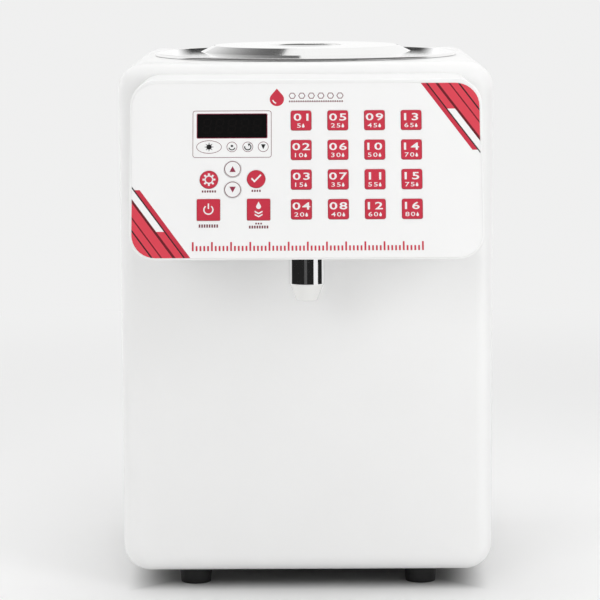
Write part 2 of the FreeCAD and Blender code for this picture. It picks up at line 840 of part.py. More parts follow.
def make_lid_handle():
    top = lid_top_z + lid_step - grip_drop
    length = 2 * (lid_dish_top_r - grip_end_gap) - grip_thick
    bar = tablet(length, grip_width, grip_width / 2 - 0.01, top - grip_thick, top)
    rim = [edge for edge in bar.Edges if edge.BoundBox.ZMin > top - 0.01]
    bar = bar.makeFillet(grip_edge_r, rim)
    floor = lid_top_z + lid_step - lid_dish_depth
    posts = [rod(grip_post_r, V(side * grip_post_across / 2, 0, floor), Z, top - grip_thick - floor)
             for side in (-1, 1)]
    return moved(bar.fuse(posts).removeSplitter(), V(0, tank_y, 0))


# ---------------------------------------------------------------- pump, motor and hoses


def involute_point(base_r, radius, offset):
    turn = math.acos(base_r / radius)
    angle = offset + math.tan(turn) - turn
    return radius * math.cos(angle), radius * math.sin(angle)


def gear(centre, phase_deg):
    """An involute spur gear whose axis runs along X; at phase 0 a tooth points along +Y."""
    pressure = math.radians(gear_pressure_deg)
    base_r = gear_pitch_r * math.cos(pressure)
    half_tooth = (math.pi * gear_module / 2 - gear_backlash) / 2 / gear_pitch_r
    base_half = half_tooth + math.tan(pressure) - pressure
    radii = [base_r + (gear_tip_r - base_r) * step / flank_steps for step in range(flank_steps + 1)]
    edges = []
    first = last = None
    for tooth in range(gear_teeth):
        middle = math.radians(phase_deg + tooth * 360 / gear_teeth)
        rising = [involute_point(base_r, radius, -base_half) for radius in radii]
        flank = [turn_flat(point, middle) for point in rising]
        back = [turn_flat((y, -z), middle) for y, z in reversed(rising)]
        root_in = turn_flat(polar(gear_root_r, -base_half), middle)
        root_out = turn_flat(polar(gear_root_r, base_half), middle)
        tip = turn_flat((gear_tip_r, 0), middle)
        if last:
            dip = turn_flat((gear_root_r, 0), middle - math.pi / gear_teeth)
            edges.append(Part.Arc(last, dip, root_in).toShape())
        edges.append(Part.LineSegment(root_in, flank[0]).toShape())
        edges.append(flank_curve(flank))
        edges.append(Part.Arc(flank[-1], tip, back[0]).toShape())
        edges.append(flank_curve(back))
        edges.append(Part.LineSegment(back[-1], root_out).toShape())
        first = first or root_in
        last = root_out
    dip = turn_flat((gear_root_r, 0), math.radians(phase_deg) - math.pi / gear_teeth)
    edges.append(Part.Arc(last, dip, first).toShape())
    face = Part.Face(Part.Wire(edges))
    wheel = face.extrude(V(gear_width, 0, 0))
    return moved(wheel, centre - V(gear_width / 2, 0, 0))


def turn_flat(point, angle):
    y, z = point
    return V(0, y * math.cos(angle) - z * math.sin(angle), y * math.sin(angle) + z * math.cos(angle))


def flank_curve(points):
    curve = Part.BSplineCurve()
    curve.interpolate(points)
    return curve.toShape()


cover_x = -pocket_half - pump_cover
shaft_left_x = cover_x + shaft_end_gap + 1
drive_end_x = motor_x + drive_shaft_reach
idler_end_x = bracket_x - 2 * shaft_end_gap


def make_pump_drive_gear():
    wheel = gear(V(0, drive_y, pump_z), 180)
    return wheel.fuse(rod(shaft_r, V(shaft_left_x, drive_y, pump_z), X,
                          drive_end_x - shaft_left_x)).removeSplitter()


def make_pump_idler_gear():
    wheel = gear(V(0, idler_y, pump_z), 180 / gear_teeth)
    return wheel.fuse(rod(shaft_r, V(shaft_left_x, idler_y, pump_z), X,
                          idler_end_x - shaft_left_x)).removeSplitter()


def pump_block(x0, x1):
    block = box(x0, x1, tank_y - pump_half_width, tank_y + pump_half_width,
                pump_z - pump_below, pump_z + pump_above)
    return block.makeFillet(pump_edge_r, edges_along(block, X))


pump_screw_places = [(tank_y + side * (pump_half_width - pump_screw_inset), pump_z + up)
                     for side in (-1, 1)
                     for up in (pump_above - pump_screw_top_inset, -pump_screw_below)]


def pump_screw_holes():
    return [rod(pump_screw_r + screw_gap, V(cover_x - 1, y, z), X, motor_x + 2 - cover_x)
            for y, z in pump_screw_places]


def shaft_bore(y, x0, x1):
    return rod(shaft_r + shaft_gap, V(x0, y, pump_z), X, x1 - x0)


def make_pump_body():
    body = pump_block(-pocket_half, bracket_x)
    inlet = V(0, tank_y, pump_z + pump_above)
    outlet = V(0, tank_y - pump_half_width, pump_z - pump_port_drop)
    body = body.fuse([hose_barb(inlet, Z), hose_barb(outlet, -Y)])
    pocket_r = gear_tip_r + gear_tip_gap
    pockets = [rod(pocket_r, V(-pocket_half - 1, y, pump_z), X, 2 * pocket_half + 1)
               for y in (drive_y, idler_y)]
    channels = [rod(barb_bore_r, V(0, tank_y, pump_z), Z, pump_above + barb_length + 1),
                rod(barb_bore_r, V(0, tank_y, outlet.z), Z, pump_port_drop),
                rod(barb_bore_r, V(0, tank_y, outlet.z), -Y, pump_half_width + barb_length + 1)]
    bores = [shaft_bore(drive_y, 0, bracket_x + 1), shaft_bore(idler_y, 0, idler_end_x + shaft_end_gap)]
    return body.cut(pockets + channels + bores + pump_screw_holes()).removeSplitter()


def make_pump_cover():
    cover = pump_block(cover_x, -pocket_half)
    bores = [shaft_bore(y, shaft_left_x - shaft_end_gap, 0) for y in (drive_y, idler_y)]
    return cover.cut(bores + pump_screw_holes())


def make_pump_screws():
    screws = []
    for y, z in pump_screw_places:
        shaft = rod(pump_screw_r, V(cover_x, y, z), X, motor_x - cover_x)
        head = rod(pump_screw_head_r, V(cover_x - pump_screw_head, y, z), X, pump_screw_head)
        socket = hexagon(pump_screw_socket, pump_screw_head / 2)
        socket.Placement = FreeCAD.Placement(V(cover_x - pump_screw_head, y, z),
                                             FreeCAD.Rotation(Z, X))
        screws.append(shaft.fuse(head).cut(socket).removeSplitter())
    return screws


def make_pump_bracket():
    y0, y1 = tank_y - bracket_half_width, tank_y + bracket_half_width
    upright = box(bracket_x, motor_x, y0, y1, floor_z, pump_z + bracket_above_axis)
    foot = box(bracket_x, motor_x + bracket_foot, y0, y1, floor_z, floor_z + bracket_sheet)
    bracket = upright.fuse(foot).removeSplitter()
    pilot = rod(motor_pilot_r + screw_gap, V(bracket_x - 1, drive_y, pump_z), X, bracket_sheet + 2)
    return bracket.cut([pilot] + pump_screw_holes() + floor_holes)


def make_pump_motor():
    can = rod(motor_r, V(motor_x, drive_y, pump_z), X, motor_length - motor_cap_length)
    cap = rod(motor_cap_r, V(motor_x, drive_y, pump_z), X, motor_length)
    pilot = rod(motor_pilot_r, V(bracket_x + screw_gap, drive_y, pump_z), X, bracket_sheet)
    motor = can.fuse([cap, pilot])
    bore = shaft_bore(drive_y, bracket_x - 1, drive_end_x + shaft_end_gap)
    tag_length, tag_width, tag_sheet = motor_tag
    end_x = motor_x + motor_length
    tags = [moved(box(end_x - 1, end_x + tag_length, -tag_width / 2, tag_width / 2,
                      -tag_sheet / 2, tag_sheet / 2), V(0, drive_y + side * motor_tag_across, pump_z))
            for side in (-1, 1)]
    return motor.fuse(tags).cut(bore).removeSplitter()


suction_top = V(0, tank_y, tank_floor_z - outlet_flange - hose_end_gap)
suction_low = V(0, tank_y, pump_z + pump_above + hose_end_gap)
front_gap_y = (front_y + sheet + tank_y - tank_r) / 2
hose_top_z = nozzle_barb_z + barb_length + hose_bend_r
delivery_points = [V(0, tank_y - pump_half_width - hose_end_gap, pump_z - pump_port_drop),
                   V(0, front_gap_y, pump_z - pump_port_drop),
                   V(0, front_gap_y, hose_top_z),
                   V(0, nozzle_y, hose_top_z),
                   V(0, nozzle_y, nozzle_barb_z + hose_end_gap)]


def make_suction_hose():
    return hose(Part.Wire([Part.LineSegment(suction_low, suction_top).toShape()]))


def make_delivery_hose():
    return hose(rounded_path(delivery_points, hose_bend_r))


def make_hose_clamps():
    reach = barb_length / 2
    places = [(suction_top, -Z, X), (suction_low, Z, X),
              (delivery_points[0], -Y, X), (delivery_points[-1], Z, X)]
    return [hose_clamp(end + along * reach, along, lug) for end, along, lug in places]


# ---------------------------------------------------------------- nozzle


def make_nozzle_sleeve():
    top = V(0, nozzle_y, 0)
    outline = [(0, nozzle_low_z), (nozzle_r, nozzle_low_z), (nozzle_r, head_low_z),
               (nozzle_stem_r, head_low_z), (nozzle_stem_r, nozzle_barb_z), (0, nozzle_barb_z)]
    sleeve = turned(outline, top)
    rim = [edge for edge in sleeve.Edges if edge.BoundBox.ZMax < nozzle_low_z + 0.01]
    sleeve = sleeve.makeFillet(nozzle_edge_r, rim)
    sleeve = sleeve.fuse(hose_barb(V(0, nozzle_y, nozzle_barb_z), Z))
    cone = chamber_r - barb_bore_r
    chamber = turned([(0, nozzle_low_z - 1), (chamber_r, nozzle_low_z - 1), (chamber_r, seat_z),
                      (barb_bore_r, seat_z + cone), (barb_bore_r, nozzle_barb_z + barb_length + 1),
                      (0, nozzle_barb_z + barb_length + 1)], top)
    return sleeve.cut(chamber).removeSplitter()


def make_nozzle_tip():
    top = V(0, nozzle_y, 0)
    tip = turned([(0, tip_low_z), (tip_end_r, tip_low_z), (nozzle_r - tip_step, nozzle_low_z),
                  (chamber_r - screw_gap, nozzle_low_z), (chamber_r - screw_gap, spring_low_z),
                  (0, spring_low_z)], top)
    rim = [edge for edge in tip.Edges if edge.BoundBox.ZMax < tip_low_z + 0.01]
    bore = rod(tip_bore_r, V(0, nozzle_y, tip_low_z - 1), Z, tip_length + tip_spigot + 2)
    return tip.makeFillet(nozzle_edge_r, rim).cut(bore)


def make_nozzle_nut():
    low = head_low_z + head_wall
    nut = hexagon(nut_flats, nut_thick)
    nut = nut.cut(rod(nozzle_stem_r + screw_gap, V(0, 0, -1), Z, nut_thick + 2))
    return moved(nut, V(0, nozzle_y, low))


def make_check_valve():
    cone_top = valve_low_z + valve_rim + valve_r - valve_nose_r
    head = turned([(0, valve_low_z), (valve_r, valve_low_z), (valve_r, valve_low_z + valve_rim),
                   (valve_nose_r, cone_top), (0, cone_top)])
    wing_r = tip_bore_r - 2 * valve_stem_gap
    wing = box(-wing_r, wing_r, -valve_wing / 2, valve_wing / 2, tip_low_z + valve_wing_end,
               valve_low_z + valve_rim / 2)
    other = wing.copy()
    other.rotate(V(0, 0, 0), Z, 90)
    return moved(head.fuse([wing, other]).removeSplitter(), V(0, nozzle_y, 0))


def make_valve_spring():
    space = valve_low_z - spring_low_z
    height = space - 2 * spring_wire_r - skin_gap
    helix = Part.makeHelix(height / spring_turns, height, spring_r)
    start = V(spring_r, 0, 0)
    ring = Part.Wire(Part.makeCircle(spring_wire_r, start, Y))
    spring = Part.Wire(helix).makePipeShell([ring], True, True)
    return moved(spring, V(0, nozzle_y, spring_low_z + spring_wire_r + skin_gap / 2))


# ---------------------------------------------------------------- electrics


def make_power_supply():
    left, front = supply_left, supply_front
    case = box(left, left + supply_width, front, front + supply_length, floor_z, floor_z + supply_height)
    case = case.makeFillet(supply_edge_r, edges_along(case, Z))
    notch_y = front + supply_length - terminal_depth
    notch_z = floor_z + terminal_height
    notch = box(left - 1, left + supply_width + 1, notch_y, front + supply_length + 1,
                notch_z, floor_z + supply_height + 1)
    top = floor_z + supply_height
    vents = [box(left + supply_width / 4, left + supply_width * 3 / 4,
                 front + supply_vent_pitch * (count + 0.5),
                 front + supply_vent_pitch * (count + 0.5) + supply_vent_width,
                 top - supply_vent_depth, top + 1)
             for count in range(supply_vents)]
    holes = [screw_hole(seat, Z, sheet + base_sheet + screw_length) for seat in supply_screw_seats]
    case = case.cut([notch] + vents + holes)
    wide, deep, tall = terminal_block
    first = left + terminal_first
    blocks = [box(first + terminal_pitch * count, first + terminal_pitch * count + wide,
                  notch_y, notch_y + deep, notch_z, notch_z + tall) for count in range(terminals)]
    return case.fuse(blocks).removeSplitter()


def make_power_inlet():
    bezel = tablet(inlet_width, inlet_height, inlet_corner_r, 0, inlet_bezel)
    body = tablet(inlet_body_width, inlet_body_height, inlet_body_corner_r,
                  -inlet_body_depth, inlet_bezel / 2)
    behind = -cover_sheet - key_rest_gap
    latches = [box(side * inlet_body_width / 2 - inlet_latch, side * inlet_body_width / 2 + inlet_latch,
                   -inlet_latch_height / 2, inlet_latch_height / 2,
                   behind - inlet_latch_height / 2, behind)
               for side in (-1, 1)]
    half_w, half_h = inlet_socket_width / 2, inlet_socket_height / 2
    outline = [V(-half_w, -half_h, 0), V(half_w, -half_h, 0), V(half_w, half_h - inlet_chamfer, 0),
               V(half_w - inlet_chamfer, half_h, 0), V(inlet_chamfer - half_w, half_h, 0),
               V(-half_w, half_h - inlet_chamfer, 0)]
    socket = Part.Face(Part.makePolygon(outline + outline[:1])).extrude(V(0, 0, inlet_socket_depth + 1))
    socket = moved(socket, V(0, 0, inlet_bezel - inlet_socket_depth))
    thick, tall, long = inlet_blade
    blade = box(-thick / 2, thick / 2, -tall / 2, tall / 2, 0, long)
    back = inlet_bezel - inlet_socket_depth
    blades = [moved(blade, V(across, up, back))
              for across, up in ((-inlet_blade_across, -inlet_blade_up), (0, inlet_blade_up),
                                 (inlet_blade_across, -inlet_blade_up))]
    shape = bezel.fuse([body] + latches).cut(socket).fuse(blades).removeSplitter()
    return on_rear(shape, inlet_place)


def make_switch_frame():
    width, height, depth = rocker_frame_body
    bezel = tablet(rocker_frame_width, rocker_frame_height, rocker_frame_corner_r,
                   0, rocker_frame_bezel)
    body = tablet(width, height, rocker_body_corner_r, -depth, rocker_frame_bezel / 2)
    mouth = tablet(rocker_mouth_width, rocker_mouth_height, rocker_mouth_corner_r,
                   rocker_frame_bezel - rocker_well, rocker_frame_bezel + 1)
    pivot_w = rocker_frame_bezel - rocker_set_back
    pin_hole = rod(rocker_pin_r + shaft_gap, V(-width, 0, pivot_w), X, 2 * width)
    return on_rear(bezel.fuse(body).cut([mouth, pin_hole]).removeSplitter(), switch_place)


def make_switch_rocker():
    """The paddle is drawn level and turned to its off position about its pin."""
    half = rocker_width / 2
    drum = rod(rocker_r, V(-half, 0, 0), X, rocker_width)
    drum = drum.cut(box(-half - 1, half + 1, -rocker_r, rocker_r, -2 * rocker_r, -rocker_back))
    rise = rocker_r * math.tan(math.radians(rocker_swing))
    far = 2 * rocker_r
    outline = [V(0, 0, rocker_dip), V(0, rocker_r, rocker_dip + rise), V(0, rocker_r, far),
               V(0, -rocker_r, far), V(0, -rocker_r, rocker_dip + rise)]
    hollow = Part.Face(Part.makePolygon(outline + outline[:1])).extrude(V(2 * rocker_width, 0, 0))
    hollow.translate(V(-rocker_width, 0, 0))
    pins = rod(rocker_pin_r, V(-half - rocker_pin, 0, 0), X, rocker_width + 2 * rocker_pin)
    paddle = drum.cut(hollow).fuse(pins).removeSplitter()
    paddle.rotate(V(0, 0, 0), X, rocker_swing)
    return on_rear(moved(paddle, V(0, 0, rocker_frame_bezel - rocker_set_back)), switch_place)


header_back = panel.multVec(V(*header_place, board_w - board_sheet - header_depth - hose_end_gap))
harness_front_y = front_y + harness_front_gap
harness_rise = (header_back.y - harness_front_y) * math.tan(lean)
harness_points = [V(header_back.x, supply_front - hose_end_gap, floor_z + harness_up),
                  V(header_back.x, harness_front_y, floor_z + harness_up),
                  V(header_back.x, harness_front_y, header_back.z + harness_rise),
                  header_back]


def make_wiring_harness():
    return pipe(rounded_path(harness_points, harness_bend_r), harness_r)


def make_machine_screws():
    screws = [machine_screw(seat, -Y) for seat in cover_screw_seats + head_screw_seats]
    screws += [machine_screw(seat, Z) for seat in supply_screw_seats + bracket_screw_seats]
    screws += [machine_screw(V(place.x, place.y, foot_height - foot_floor), Z) for place in foot_places]
    screws += [on_panel(machine_screw(seat, Z)) for seat in board_screw_seats]
    return screws


# ---------------------------------------------------------------- all nodes

nodes = {
    "outer_shell": make_outer_shell(),
    "rear_cover": make_rear_cover(),
    "base_plate": make_base_plate(),
    "rubber_feet": make_rubber_feet(),
    "machine_screws": make_machine_screws(),
    "head_shell": make_head_shell(),
    "control_overlay": make_control_overlay(),
    "display_window": make_display_window(),
    "display_module": make_display_module(),
    "control_board": make_control_board(),
    "tact_switches": make_tact_switches(),
    "syrup_tank": make_syrup_tank(),
    "tank_gasket": make_tank_gasket(),
    "tank_heater": make_tank_heater(),
    "temperature_sensor": make_temperature_sensor(),
    "tank_outlet": make_tank_outlet(),
    "tank_lid": make_tank_lid(),
    "lid_handle": make_lid_handle(),
    "suction_hose": make_suction_hose(),
    "delivery_hose": make_delivery_hose(),
    "hose_clamps": make_hose_clamps(),
    "pump_body": make_pump_body(),
    "pump_cover": make_pump_cover(),
    "pump_screws": make_pump_screws(),
    "pump_bracket": make_pump_bracket(),
    "pump_motor": make_pump_motor(),
    "pump_drive_gear": make_pump_drive_gear(),
    "pump_idler_gear": make_pump_idler_gear(),
    "nozzle_sleeve": make_nozzle_sleeve(),
    "nozzle_tip": make_nozzle_tip(),
    "nozzle_nut": make_nozzle_nut(),
    "check_valve": make_check_valve(),
    "valve_spring": make_valve_spring(),
    "power_supply": make_power_supply(),
    "power_inlet": make_power_inlet(),
    "switch_frame": make_switch_frame(),
    "switch_rocker": make_switch_rocker(),
    "wiring_harness": make_wiring_harness(),
    **{name: key(*layout) for name, layout in keys.items()},
}

os.makedirs("parts", exist_ok=True)
for name, shape in nodes.items():
    group = Part.makeCompound(shape) if isinstance(shape, list) else shape
    solids = group.Solids
    print(f"{name}: {len(solids)} solid(s), {sum(solid.Volume for solid in solids):.0f} mm3,",
          "closed" if all(solid.isValid() for solid in solids) else "NOT VALID")
    group = solids[0] if len(solids) == 1 else Part.makeCompound(solids)
    group.exportStep(f"parts/{name}.step")
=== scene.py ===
# %% [markdown]
# # Dressing a syrup dispenser
# The machine arrives from the CAD program as a set of solids, each at its real size and place. This
# lesson adds what CAD leaves out: paint, polish, the printed film with its legends, and a small studio.
# No solid is moved. Whatever is added finds its place by measuring the solids first.

# %% Load the solids
import json
import math

import bmesh
import bpy
from mathutils import Matrix, Vector


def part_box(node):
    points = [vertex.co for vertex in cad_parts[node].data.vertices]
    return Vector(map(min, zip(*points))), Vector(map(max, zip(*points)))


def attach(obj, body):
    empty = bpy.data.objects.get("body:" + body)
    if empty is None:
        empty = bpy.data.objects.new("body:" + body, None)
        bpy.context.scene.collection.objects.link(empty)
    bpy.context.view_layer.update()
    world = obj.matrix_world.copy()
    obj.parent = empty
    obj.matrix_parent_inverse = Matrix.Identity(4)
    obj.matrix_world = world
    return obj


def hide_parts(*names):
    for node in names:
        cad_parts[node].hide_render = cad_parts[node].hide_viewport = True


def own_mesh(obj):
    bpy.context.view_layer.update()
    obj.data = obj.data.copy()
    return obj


MM = 0.001
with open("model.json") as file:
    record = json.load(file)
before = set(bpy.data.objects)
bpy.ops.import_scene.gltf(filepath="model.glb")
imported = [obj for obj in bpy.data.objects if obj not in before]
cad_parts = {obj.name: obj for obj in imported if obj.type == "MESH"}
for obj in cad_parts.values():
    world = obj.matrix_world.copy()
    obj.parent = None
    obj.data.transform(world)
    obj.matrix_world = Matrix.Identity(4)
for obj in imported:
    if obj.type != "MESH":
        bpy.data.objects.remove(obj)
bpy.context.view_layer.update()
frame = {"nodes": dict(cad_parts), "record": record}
solids = frame["nodes"]

# %% [markdown]
# ## The camera
# A long lens two metres away keeps the cabinet's upright edges almost parallel, as in a shop's
# catalogue. The camera stands a little above the lid and looks slightly down, so that the top shows as
# a thin band. Its place is given from the cabinet's front and top, its turns in degrees, and its focal
# length in pixels of the picture, which the width of the sensor turns into millimetres.

# %% Camera
IMAGE_SIDE = 600
SENSOR_WIDTH = 36
cabinet_low, cabinet_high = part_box("outer_shell")
camera_distance = 2028 * MM
camera_rise = 94.8 * MM
camera_pitch = math.radians(7.555)
camera_yaw = math.radians(0.144)
camera_roll = math.radians(-0.3)
focal_pixels = 2780

camera_data = bpy.data.cameras.new("camera")
camera_data.sensor_width = SENSOR_WIDTH
camera_data.lens = focal_pixels / IMAGE_SIDE * SENSOR_WIDTH
camera = bpy.data.objects.new("camera", camera_data)
camera.matrix_world = (
    Matrix.Translation((0, cabinet_low.y - camera_distance, cabinet_high.z + camera_rise))
    @ Matrix.Rotation(camera_yaw, 4, "Z")
    @ Matrix.Rotation(math.pi / 2 - camera_pitch, 4, "X")
    @ Matrix.Rotation(camera_roll, 4, "Z")
)
bpy.context.scene.collection.objects.link(camera)
bpy.context.scene.camera = camera
bpy.context.scene.view_settings.view_transform = "Standard"
print("lens in mm:", round(camera_data.lens, 1))

# %% [markdown]
# ## Sums with sockets
# A procedural finish is a sum: height is noise times depth, and dirt is one minus a mask. Wiring that by
# hand hides the sum among nodes. So one small class wraps an output socket and gives it Python's
# operators. Each operator adds one Math node.

# %% Wires


class Wire:
    """An output socket that takes part in Python sums."""

    def __init__(self, graph, socket):
        self.graph = graph
        self.socket = socket

    def other(self, name):
        """Another output of the node that this wire comes from."""
        return Wire(self.graph, self.socket.node.outputs[name])

    def __add__(self, term):
        return self.graph.maths("ADD", self, term)

    def __sub__(self, term):
        return self.graph.maths("SUBTRACT", self, term)

    def __rsub__(self, term):
        return self.graph.maths("SUBTRACT", term, self)

    def __mul__(self, term):
        return self.graph.maths("MULTIPLY", self, term)

    def __truediv__(self, term):
        return self.graph.maths("DIVIDE", self, term)

    def __rtruediv__(self, term):
        return self.graph.maths("DIVIDE", term, self)

    def __lt__(self, term):
        return self.graph.maths("LESS_THAN", self, term)

    def __gt__(self, term):
        return self.graph.maths("GREATER_THAN", self, term)

    def __mod__(self, term):
        return self.graph.maths("FLOORED_MODULO", self, term)

    def __abs__(self):
        return self.graph.maths("ABSOLUTE", self)

    __radd__ = __add__
    __rmul__ = __mul__


print("a wire's methods:", [name for name in vars(Wire) if callable(getattr(Wire, name))])

# %% [markdown]
# ## A tree that is written as Python
# The second class holds a node tree and makes every node by one method: the node's type, its settings,
# then the values or wires of its sockets. Short methods name the few nodes that come often. The two
# classes serve materials, the world and Geometry Nodes alike, because all of them have Math nodes.

# %% Graphs


class Graph:
    """A node tree that is written as Python."""

    def __init__(self, tree):
        self.tree = tree

    def plug(self, socket, value):
        """Links a wire to a socket, or writes a plain value on it."""
        if isinstance(value, Wire):
            self.tree.links.new(value.socket, socket)
        elif socket.type == "RGBA" and len(value) == 3:
            socket.default_value = (*value, 1)
        else:
            socket.default_value = value

    def node(self, kind, settings=None, sockets=None, out=0):
        """Makes any node: its settings first, then its sockets. Returns one output, if it has any."""
        made = self.tree.nodes.new(kind)
        for name, value in (settings or {}).items():
            setattr(made, name, value)
        for name, value in (sockets or {}).items():
            self.plug(made.inputs[name], value)
        return Wire(self, made.outputs[out]) if len(made.outputs) else None

    def maths(self, operation, *terms):
        """A sum of wires and numbers."""
        return self.node("ShaderNodeMath", {"operation": operation}, dict(enumerate(terms)))

    def vectors(self, operation, *terms, out=0):
        """A sum of wires and vectors."""
        return self.node("ShaderNodeVectorMath", {"operation": operation}, dict(enumerate(terms)), out)

    def vector(self, *parts):
        """A vector made of up to three numbers."""
        return self.node("ShaderNodeCombineXYZ", {}, dict(enumerate(parts)))

    def axes(self, vector):
        """A vector's three numbers."""
        x = self.node("ShaderNodeSeparateXYZ", {}, {0: vector})
        return x, x.other("Y"), x.other("Z")

    def step(self, value, low, high):
        """0 below low, 1 above high, and a soft rise between."""
        return self.node("ShaderNodeMapRange", {"interpolation_type": "SMOOTHSTEP"},
                         {"Value": value, "From Min": low, "From Max": high})


print("a graph's methods:", [name for name in vars(Graph) if not name.startswith("_")])

# %% [markdown]
# ## A finish
# Every material here is a Principled shader with a few constants, and patterns that vary its colour,
# its roughness and its surface. The patterns read Object coordinates. Each solid keeps its place in its
# mesh and its object stays at the origin, so those coordinates are metres from the machine's own foot.

# %% Finishes


class Finish(Graph):
    """A material with its usual patterns."""

    def __init__(self, name, constants):
        self.material = bpy.data.materials.new(name)
        self.material.use_nodes = True
        super().__init__(self.material.node_tree)
        self.shader = self.tree.nodes["Principled BSDF"]
        for socket, value in constants.items():
            self.set(socket, value)

    def set(self, socket, value):
        """Gives one of the shader's sockets a value or a wire."""
        self.plug(self.shader.inputs[socket], value)

    def show(self, surface):
        """Shows another surface than the shader's own."""
        self.plug(self.tree.nodes["Material Output"].inputs["Surface"], surface)

    def here(self, stretch=None, centre=(0, 0, 0), turn=(0, 0, 0)):
        """Object coordinates, measured from a centre, turned and stretched as a pattern needs."""
        place = self.node("ShaderNodeTexCoord", out="Object")
        if stretch is None and not any(centre) and not any(turn):
            return place
        moved = self.vectors("SUBTRACT", place, centre)
        rotated = self.node("ShaderNodeMapping", {"vector_type": "POINT"},
                            {"Vector": moved, "Rotation": turn})
        return self.vectors("MULTIPLY", rotated, stretch or (1, 1, 1))

    def noise(self, size, detail=2, place=None):
        """Soft noise between 0 and 1 whose blobs are about a given size in metres."""
        return self.node("ShaderNodeTexNoise", {},
                         {"Vector": place or self.here(), "Scale": 1 / size, "Detail": detail})

    def mix(self, mask, first, second):
        """One colour where the mask is 0, another where it is 1."""
        return self.node("ShaderNodeMix", {"data_type": "RGBA"}, {0: mask, 6: first, 7: second}, out=2)

    def roughen(self, middle, *swings):
        """A middle roughness, and for each pattern between 0 and 1 how far it swings that value."""
        for pattern, swing in swings:
            middle = middle + (pattern - 0.5) * swing
        self.set("Roughness", middle)

    def raise_by(self, height, depth):
        """Bumps the surface by a height between 0 and 1 times a depth in metres."""
        bump = self.node("ShaderNodeBump", {}, {"Height": height, "Distance": depth, "Strength": 1})
        self.set("Normal", bump)


print("a finish's methods:", [name for name in vars(Finish) if not name.startswith("_")])

# %% [markdown]
# ## The backdrop
# The world is two things at once. What the camera sees is the backdrop, at strength 1. Polished metal
# sees that backdrop too, but only behind the machine: the camera's side of a real studio is dark, and it
# is that dark which gives chrome its black heart between bright edges. What lights the machine is weaker
# than either, and softboxes add the rest.

# %% World
BACKDROP = (0.87, 0.87, 0.868)
WORLD_LIGHT = 0.48
REAR_GLOW = 1.15
DARK_ROOM = 0.2
DARK_UP_TO = 0.2
BRIGHT_FROM = 0.42


def seen(graph):
    """1 for the rays that see the studio: the camera's, and those off metal and through glass."""
    from_camera = graph.node("ShaderNodeLightPath", out="Is Camera Ray")
    either = graph.maths("MAXIMUM", from_camera, from_camera.other("Is Glossy Ray"))
    return graph.maths("MAXIMUM", either, from_camera.other("Is Transmission Ray"))


def shown(graph, rearward, dark):
    """The backdrop's strength for the camera, and for mirrors: bright behind the machine, dark in front."""
    mirrored = graph.node("ShaderNodeLightPath", out="Is Glossy Ray")
    behind = graph.step(rearward, DARK_UP_TO, BRIGHT_FROM)
    in_mirrors = dark + behind * (REAR_GLOW - dark)
    return 1 + mirrored * (in_mirrors - 1)


world = bpy.data.worlds.new("studio")
world.use_nodes = True
world.node_tree.nodes.clear()
air = Graph(world.node_tree)
direction = air.axes(air.node("ShaderNodeTexCoord", out="Generated"))
strength = WORLD_LIGHT + seen(air) * (shown(air, direction[1], DARK_ROOM) - WORLD_LIGHT)
glow = air.node("ShaderNodeBackground", {}, {"Color": BACKDROP, "Strength": strength})
air.node("ShaderNodeOutputWorld", {}, {"Surface": glow})
bpy.context.scene.world = world
print("backdrop", BACKDROP, "world light", WORLD_LIGHT)

# %% [markdown]
# ## The floor
# A pale floor carries the machine's shadow. Far out it fades into the same light as the backdrop, so no
# edge shows at any angle. Soft lights reach the narrow gap between the feet from all sides and would
# wash its shadow out, so a painted shadow darkens the floor's colour under the cabinet.

# %% Floor
DARK_FLOOR = 0.02
floor_colour = (0.915, 0.915, 0.913)
painted_shadow_colour = (0.2, 0.2, 0.2)
painted_shadow_edge = 40 * MM
floor_reach = 9.0
fade_start = 0.5
fade_end = 1.5

ground = Finish("studio_floor", {"Roughness": 0.6})
floor_across, floor_along, _ = ground.axes(ground.here())
beside = abs(floor_across) - cabinet_high.x
before = abs(floor_along - (cabinet_low.y + cabinet_high.y) / 2) - (cabinet_high.y - cabinet_low.y) / 2
# Painted shadow: the floor's colour turns dark within the cabinet's footprint and fades back over a band
# round its edge.
outside_painted_shadow = ground.step(ground.maths("MAXIMUM", beside, before), -painted_shadow_edge, 0)
ground.set("Base Color", ground.mix(outside_painted_shadow, painted_shadow_colour, floor_colour))
away = ground.vectors("LENGTH", ground.here(), out="Value")
fade = ground.step(away, fade_start, fade_end) * seen(ground)
far_glow = shown(ground, floor_along / away, DARK_FLOOR)
far_light = ground.node("ShaderNodeEmission", {}, {"Color": BACKDROP, "Strength": far_glow})
near_light = Wire(ground, ground.shader.outputs[0])
ground.show(ground.node("ShaderNodeMixShader", {}, {0: fade, 1: near_light, 2: far_light}))


def sheet_of(name, width, height, place, material):
    """A flat rectangle of the studio: its floor, or a card."""
    mesh = bpy.data.meshes.new(name)
    corners = [(x * width / 2, y * height / 2, 0) for x, y in ((-1, -1), (1, -1), (1, 1), (-1, 1))]
    mesh.from_pydata(corners, [], [(0, 1, 2, 3)])
    mesh.materials.append(material)
    sheet = bpy.data.objects.new(name, mesh)
    sheet.matrix_world = place
    bpy.context.scene.collection.objects.link(sheet)
    return sheet


sheet_of("studio_floor", 2 * floor_reach, 2 * floor_reach, Matrix(), ground.material)
print("floor reaches", floor_reach, "m")

# %% [markdown]
# ## Lamps
# The strongest lamps stand at the right and above, so the right side is a shade lighter, and the head
# throws a short soft shadow to the left. A box in front and one at the left fill that shadow. Lamps
# light the machine but don't show in its metal, where the cards of the next step stand in for them.

# %% Softboxes
machine_middle = Vector((0, 0, 0.25))


def facing(place, aim):
    """The place of something that stands at a point and faces another."""
    turn = (Vector(aim) - Vector(place)).to_track_quat("-Z", "Y").to_matrix().to_4x4()
    return Matrix.Translation(place) @ turn


